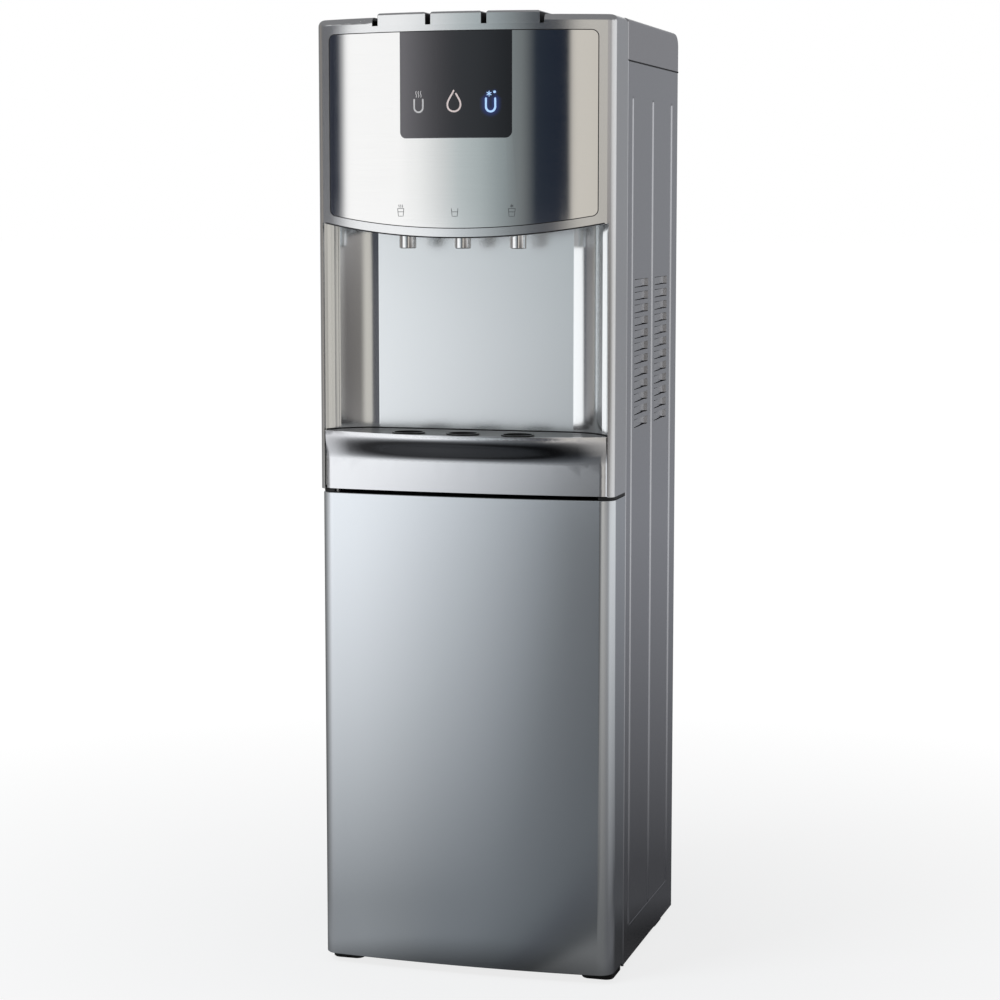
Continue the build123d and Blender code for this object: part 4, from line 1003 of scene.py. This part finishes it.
class DISPENSER_OT_icons(bpy.types.Operator):
    """Build the three pictograms on the display"""

    bl_idname = "dispenser.icons"
    bl_label = "Display Pictograms"

    def execute(self, context):
        marks = context.scene.dispenser_marks
        width = marks.icon_stroke
        hot, drop, cold = ICON_COLUMNS

        def draw(mesh, line, stroke_width, x):
            stroke(mesh, placed(line, x, ICON_LEVEL), stroke_width, on_bow, marks.rise)

        mesh = bmesh.new()
        draw(mesh, cup_line(ICON_CUP, 13.0), width, hot)
        for column in (-2.6, 0.0, 2.6):
            draw(mesh, wisp(column, 15.6, 21.6, 0.45), width * 0.42, hot)
        pale = finish("pale_print", lit_print(marks.pale, 0.35))
        piece("heating_icon", mesh, "cabinet", pale)

        mesh = bmesh.new()
        tip, left, low, right, gap = (-0.3, 21.8), (-7.2, 7.4), (0.0, 0.4), (7.2, 7.4), (2.3, 18.6)
        line = [tip] + bezier(tip, (-2.6, 16.8), (-7.2, 11.8), left)
        line += bezier(left, (-7.2, 3.2), (-4.0, 0.4), low) + bezier(low, (4.0, 0.4), (7.2, 3.2), right)
        line += bezier(right, (7.2, 11.2), (4.2, 15.4), gap)
        draw(mesh, line, width, drop)
        rosy = finish("rosy_print", lit_print(marks.rosy, 0.4))
        piece("drop_icon", mesh, "cabinet", rosy)

        mesh = bmesh.new()
        draw(mesh, cup_line(ICON_CUP, 13.4), width * 1.15, cold)
        for line in star_lines(*STAR, 2.5):
            draw(mesh, line, width * 0.5, cold)
        dot_x, dot_z = DOT
        draw(mesh, [(dot_x - 0.1, dot_z), (dot_x + 0.1, dot_z)], width * 1.5, cold)
        lit = finish("lit_print", lit_print(marks.lit, 0.75))
        piece("cooling_icon", mesh, "cabinet", lit)
        return {"FINISHED"}


class DISPENSER_OT_joint_shades(bpy.types.Operator):
    """Build dark strips: a dark joint round the steel that also paints the shade of its groove, and
    painted shade under its rim, round the tray and under the cover
    """

    bl_idname = "dispenser.seals"
    bl_label = "Seals"

    def execute(self, context):
        marks = context.scene.dispenser_marks
        # Dark strips that paint shade in the joints
        dark = finish("painted_joint_shade", soft_rubber(JOINT_SHADE_AND_GROMMET_BLACK, 0.6))
        mesh = bmesh.new()
        # Dark joint round the steel, also painting the shade of its groove
        stroke(mesh, fascia_line(), marks.joint_shade_width, on_bow, marks.rise)
        # Painted shade: a dark strip along the rim's lower edge
        half = FASCIA[1][0] + RIM_REACH
        drop = RIM_DROP - marks.rim_shade / 2
        line = [(half * step / 40, smile(half * step / 40) - drop) for step in range(-40, 41)]
        stroke(mesh, line, marks.rim_shade, on_bow, marks.rise)
        piece("fascia_joint_shade", mesh, "cabinet", dark)

        mesh = bmesh.new()
        # Painted shade: a dark strip along the gap at the back of the tray
        top = TRAY[1][2]
        stroke(mesh, niche_line(marks.joint_shade_width), marks.joint_shade_width, on_level(top), marks.tray_joint_shade)
        low, high = TRAY[0][2] + TRAY_SHADE_END, top - TRAY_SHADE_END
        # Painted shade: dark hairlines in the gaps beside the tray front
        for side in (-1, 1):
            x = side * (NICHE_HALF - marks.tray_edge_shade / 2)
            line = [(x, low + (high - low) * step / 30) for step in range(31)]
            stroke(mesh, line, marks.tray_edge_shade, on_tray_front, marks.rise)
        piece("tray_joint_shade", mesh, "tray", dark)

        # Painted shade: dark strips in the joint under the cover on both sides
        mesh = bmesh.new()
        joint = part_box("top_cover")[0][2]
        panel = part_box("side_panel_right")
        middle = (panel[0][1] + panel[1][1]) / 2
        size = (COVER_SHADE_WIDTH, panel[1][1] - panel[0][1] - COVER_SHADE_SHORT, marks.cover_joint_shade)
        for side in (-1, 1):
            centre = (side * (HALF_WIDTH - COVER_SHADE_IN), middle, joint - marks.cover_joint_shade / 2)
            place = Matrix.Translation(centre) @ Matrix.Diagonal((*size, 1.0))
            bmesh.ops.create_cube(mesh, size=1.0, matrix=place)
        piece("cover_joint_shade", mesh, "cabinet", dark)
        return {"FINISHED"}


class DISPENSER_OT_grommets(bpy.types.Operator):
    """Build the rubber grommets round the drip holes"""

    bl_idname = "dispenser.grommets"
    bl_label = "Drip Grommets"

    def execute(self, context):
        marks = context.scene.dispenser_marks
        mesh = bmesh.new()
        surface = on_level(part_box("drip_grille")[1][2])
        # The round ends of the stroke close each ring
        for x in SPOUT_COLUMNS:
            circle = turned((x, SPOUT_Y), DRIP_RADIUS + GROMMET_OUT, -math.pi / 2, 1.48 * math.pi, 64)
            stroke(mesh, circle, GROMMET_WIDTH, surface, marks.grommet_rise)
        rubber = finish("grommet_gloss", soft_rubber(JOINT_SHADE_AND_GROMMET_BLACK, 0.3))
        piece("drip_grommets", mesh, "grille", rubber)
        return {"FINISHED"}


class DISPENSER_OT_cup_marks(bpy.types.Operator):
    """Build the small cup marks on the steel, one over each spout"""

    bl_idname = "dispenser.cup_marks"
    bl_label = "Cup Marks"

    def execute(self, context):
        marks = context.scene.dispenser_marks
        ink = finish("etched_print", moulded(marks.etched, 0.5, 1500.0, 0.05, 0.15))
        cup = [(-3.6, 8.0), (-3.2, 4.0), (-2.8, 0.0), (0.0, 0.0), (2.8, 0.0), (3.2, 4.0), (3.6, 8.0)]
        water = [(-3.3, 4.6), (0.0, 4.6), (3.3, 4.6)]
        lid = [(-3.6, 8.0), (3.6, 8.0)]
        steam = [wisp(column, 9.2, 12.0, 0.3) for column in (-2.0, 0.0, 2.0)]
        extras = {
            "hot": steam + [lid, water],
            "room": [water],
            "cold": star_lines(0.0, 10.8, 1.7) + [lid, water],
        }
        for name, x in zip(WAYS, SPOUT_COLUMNS):
            mesh = bmesh.new()
            for line in [cup] + extras[name]:
                stroke(mesh, placed(line, x, CUP_LEVEL), marks.cup_stroke, on_bow, marks.rise)
            piece("cup_mark_" + name, mesh, "cabinet", ink)
        return {"FINISHED"}


class DISPENSER_OT_back_marks(bpy.types.Operator):
    """Build dark crosses painted as the shade of the screw recesses, and the on and off signs of the
    rocker switches
    """

    bl_idname = "dispenser.back_marks"
    bl_label = "Back Marks"

    def execute(self, context):
        dark = finish("recess_shade", moulded((0.03, 0.03, 0.03), 0.6, 1500.0, 0.1, 0.3))
        low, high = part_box("back_screws")
        step = (high[2] - low[2] - 2 * SCREW_RADIUS) / (SCREW_ROWS - 1)

        def on_heads(x, z, lift):
            return Vector((x, high[1] + lift, z))

        # Painted shade: dark raised crosses stand for the shade in the screws' recesses
        mesh = bmesh.new()
        for x in (low[0] + SCREW_RADIUS, high[0] - SCREW_RADIUS):
            for row in range(SCREW_ROWS):
                z = low[2] + SCREW_RADIUS + row * step
                for line in star_lines(x, z, CROSS_REACH, CROSS_TURNS):
                    stroke(mesh, line, CROSS_WIDTH, on_heads, CROSS_RISE)
        piece("screw_recess_shade", mesh, "cabinet", dark)

        white = finish("sign_print", moulded((0.72, 0.72, 0.72), 0.5, 1500.0, 0.05, 0.1))
        joints = {joint["name"]: joint for joint in frame["joints"]}
        circle = turned(RING_SIGN, RING_RADIUS, 0.0, 1.92 * math.pi, 24)
        for name in ("heat", "cool"):
            face = on_rocker(Vector(joints[name + "_rock"]["pos_m"]))
            mesh = bmesh.new()
            stroke(mesh, BAR_SIGN, BAR_WIDTH, face, SIGN_RISE)
            stroke(mesh, circle, RING_WIDTH, face, SIGN_RISE)
            piece(name + "_signs", mesh, name + "_switch", white)
        return {"FINISHED"}


class DISPENSER_OT_stage(bpy.types.Operator):
    """Set the floor, studio, lamps and camera"""

    bl_idname = "dispenser.stage"
    bl_label = "Studio"

    def execute(self, context):
        stage = context.scene.dispenser_stage
        self.floor(stage)
        self.studio(context.scene, stage)
        self.lamp(context.scene, "key_lamp", KEY_LAMP, stage.key_power)
        self.lamp(context.scene, "front_lamp", FRONT_LAMP, stage.fill_power)
        camera = bpy.data.objects.new("camera", bpy.data.cameras.new("camera"))
        context.scene.collection.objects.link(camera)
        camera.location = CAMERA_PLACE
        camera.rotation_euler = (math.radians(90 - CAMERA_DOWN), 0.0, math.radians(CAMERA_TURN))
        camera.data.lens = CAMERA_LENS
        camera.data.clip_start = 0.05
        context.scene.camera = camera
        context.scene.view_settings.view_transform = "Standard"
        return {"FINISHED"}

    def floor(self, stage):
        """Pale floor: plain white to the eye, and in mirrors it darkens towards the object."""
        mesh = bmesh.new()
        bmesh.ops.create_grid(mesh, x_segments=8, y_segments=8, size=FLOOR_HALF)
        data = bpy.data.meshes.new("floor")
        mesh.to_mesh(data)
        mesh.free()
        made = bpy.data.objects.new("floor", data)
        bpy.context.scene.collection.objects.link(made)
        material = bpy.data.materials.new("pale_floor")
        material.use_nodes = True
        sheet = Sheet(material.node_tree)
        x, y = sheet.axes(sheet.place())[:2]
        reach = (x * x + y * y).math("SQRT")
        away = reach.ramp(*EYE_FADE)
        out = (reach - FAR_START).math("MAXIMUM", 0.0)
        distant = (FAR_LIMIT * out / (out + FAR_PACE)).held()
        close = 0.25 + 0.75 * reach.ramp(*FOOT_FADE)
        light = sheet.node("ShaderNodeLightPath")
        seen = light.other("Is Camera Ray").math("MAXIMUM", light.other("Is Transmission Ray"))
        mirrored = light.other("Is Glossy Ray") * (1 - seen)
        rings = (GROUND_NEAR, GROUND_FAR, GROUND_BEYOND)
        near, far, beyond = (self.bands(sheet, x, y, ring) for ring in rings)
        room = sheet.mix(sheet.mix(near, far, distant), beyond, reach.ramp(*BEYOND_FADE))
        room = sheet.mix(room, (1.0, 1.0, 1.0), seen)
        strength = seen * (0.8 + 0.2 * away) + mirrored * close
        shade = sheet.mix((0.03, 0.03, 0.03), stage.floor_shade, seen * (1 - away))
        matt = sheet.node("ShaderNodeBsdfDiffuse", None, {"Color": shade})
        plain = sheet.node("ShaderNodeEmission", None, {"Color": room, "Strength": strength})
        both = sheet.node("ShaderNodeAddShader", None, {0: matt, 1: plain})
        sheet.node("ShaderNodeOutputMaterial", None, {"Surface": both})
        data.materials.append(material)

    def bands(self, sheet, x, y, colours):
        """Colour by direction round the object, 0 in front and positive to the right."""
        turn = x.math("ARCTAN2", y * -1.0) / (2 * math.pi) + 0.5
        stops = [(0.5 + angle / 360, colour) for angle, colour in colours]
        return sheet.node("ShaderNodeValToRGB", {"stops": stops}, {"Fac": turn})

    def studio(self, scene, stage):
        """White for the camera; round the object the walls under a dim ceiling."""
        world = bpy.data.worlds.new("studio")
        scene.world = world
        world.use_nodes = True
        sheet = Sheet(world.node_tree)
        x, y, z = sheet.axes(sheet.node("ShaderNodeTexCoord"))
        room = sheet.mix(self.bands(sheet, x, y, WALLS), stage.ceiling, z.ramp(*CEILING_FADE))
        light = sheet.node("ShaderNodeLightPath")
        around = sheet.node("ShaderNodeBackground", None, {"Color": room, "Strength": stage.room_level})
        white = sheet.node("ShaderNodeBackground", None, {"Color": (1, 1, 1, 1), "Strength": 1.0})
        seen = light.other("Is Camera Ray")
        both = sheet.node("ShaderNodeMixShader", None, {0: seen, 1: around, 2: white})
        sheet.node("ShaderNodeOutputWorld", None, {"Surface": both})

    def lamp(self, scene, name, stand, power):
        """Square lamp that mirrors don't show."""
        place, target, size = stand
        data = bpy.data.lights.new(name, "AREA")
        data.energy = power
        data.size = size
        made = bpy.data.objects.new(name, data)
        scene.collection.objects.link(made)
        made.visible_glossy = False
        made.location = place
        made.rotation_euler = (Vector(target) - Vector(place)).to_track_quat("-Z", "Y").to_euler()


class DISPENSER_PT_panel(bpy.types.Panel):
    """Sizes, colours and steps of the dispenser"""

    bl_idname = "DISPENSER_PT_panel"
    bl_label = "Water Dispenser"
    bl_space_type = "VIEW_3D"
    bl_region_type = "UI"
    bl_category = "Dispenser"

    def draw(self, context):
        layout = self.layout
        for group in ("dispenser_finishes", "dispenser_marks", "dispenser_stage"):
            values = getattr(context.scene, group)
            column = layout.column(align=True)
            for name in values.__annotations__:
                column.prop(values, name)
        for operator in OPERATORS:
            layout.operator(operator.bl_idname)


GROUPS = {
    "dispenser_finishes": DispenserFinishes,
    "dispenser_marks": DispenserMarks,
    "dispenser_stage": DispenserStage,
}
OPERATORS = (
    DISPENSER_OT_shell,
    DISPENSER_OT_works,
    DISPENSER_OT_joint_shades,
    DISPENSER_OT_grommets,
    DISPENSER_OT_icons,
    DISPENSER_OT_cup_marks,
    DISPENSER_OT_back_marks,
    DISPENSER_OT_stage,
)


def register():
    for group in GROUPS.values():
        bpy.utils.register_class(group)
    for name, group in GROUPS.items():
        setattr(bpy.types.Scene, name, PointerProperty(type=group))
    for operator in OPERATORS:
        bpy.utils.register_class(operator)
    bpy.utils.register_class(DISPENSER_PT_panel)


def unregister():
    bpy.utils.unregister_class(DISPENSER_PT_panel)
    for operator in reversed(OPERATORS):
        bpy.utils.unregister_class(operator)
    for name, group in GROUPS.items():
        delattr(bpy.types.Scene, name)
        bpy.utils.unregister_class(group)


def main():
    register()
    bpy.ops.dispenser.shell()
    bpy.ops.dispenser.works()
    bpy.ops.dispenser.seals()
    bpy.ops.dispenser.grommets()
    bpy.ops.dispenser.icons()
    bpy.ops.dispenser.cup_marks()
    bpy.ops.dispenser.back_marks()
    bpy.ops.dispenser.stage()


if __name__ == "__main__":
    main()
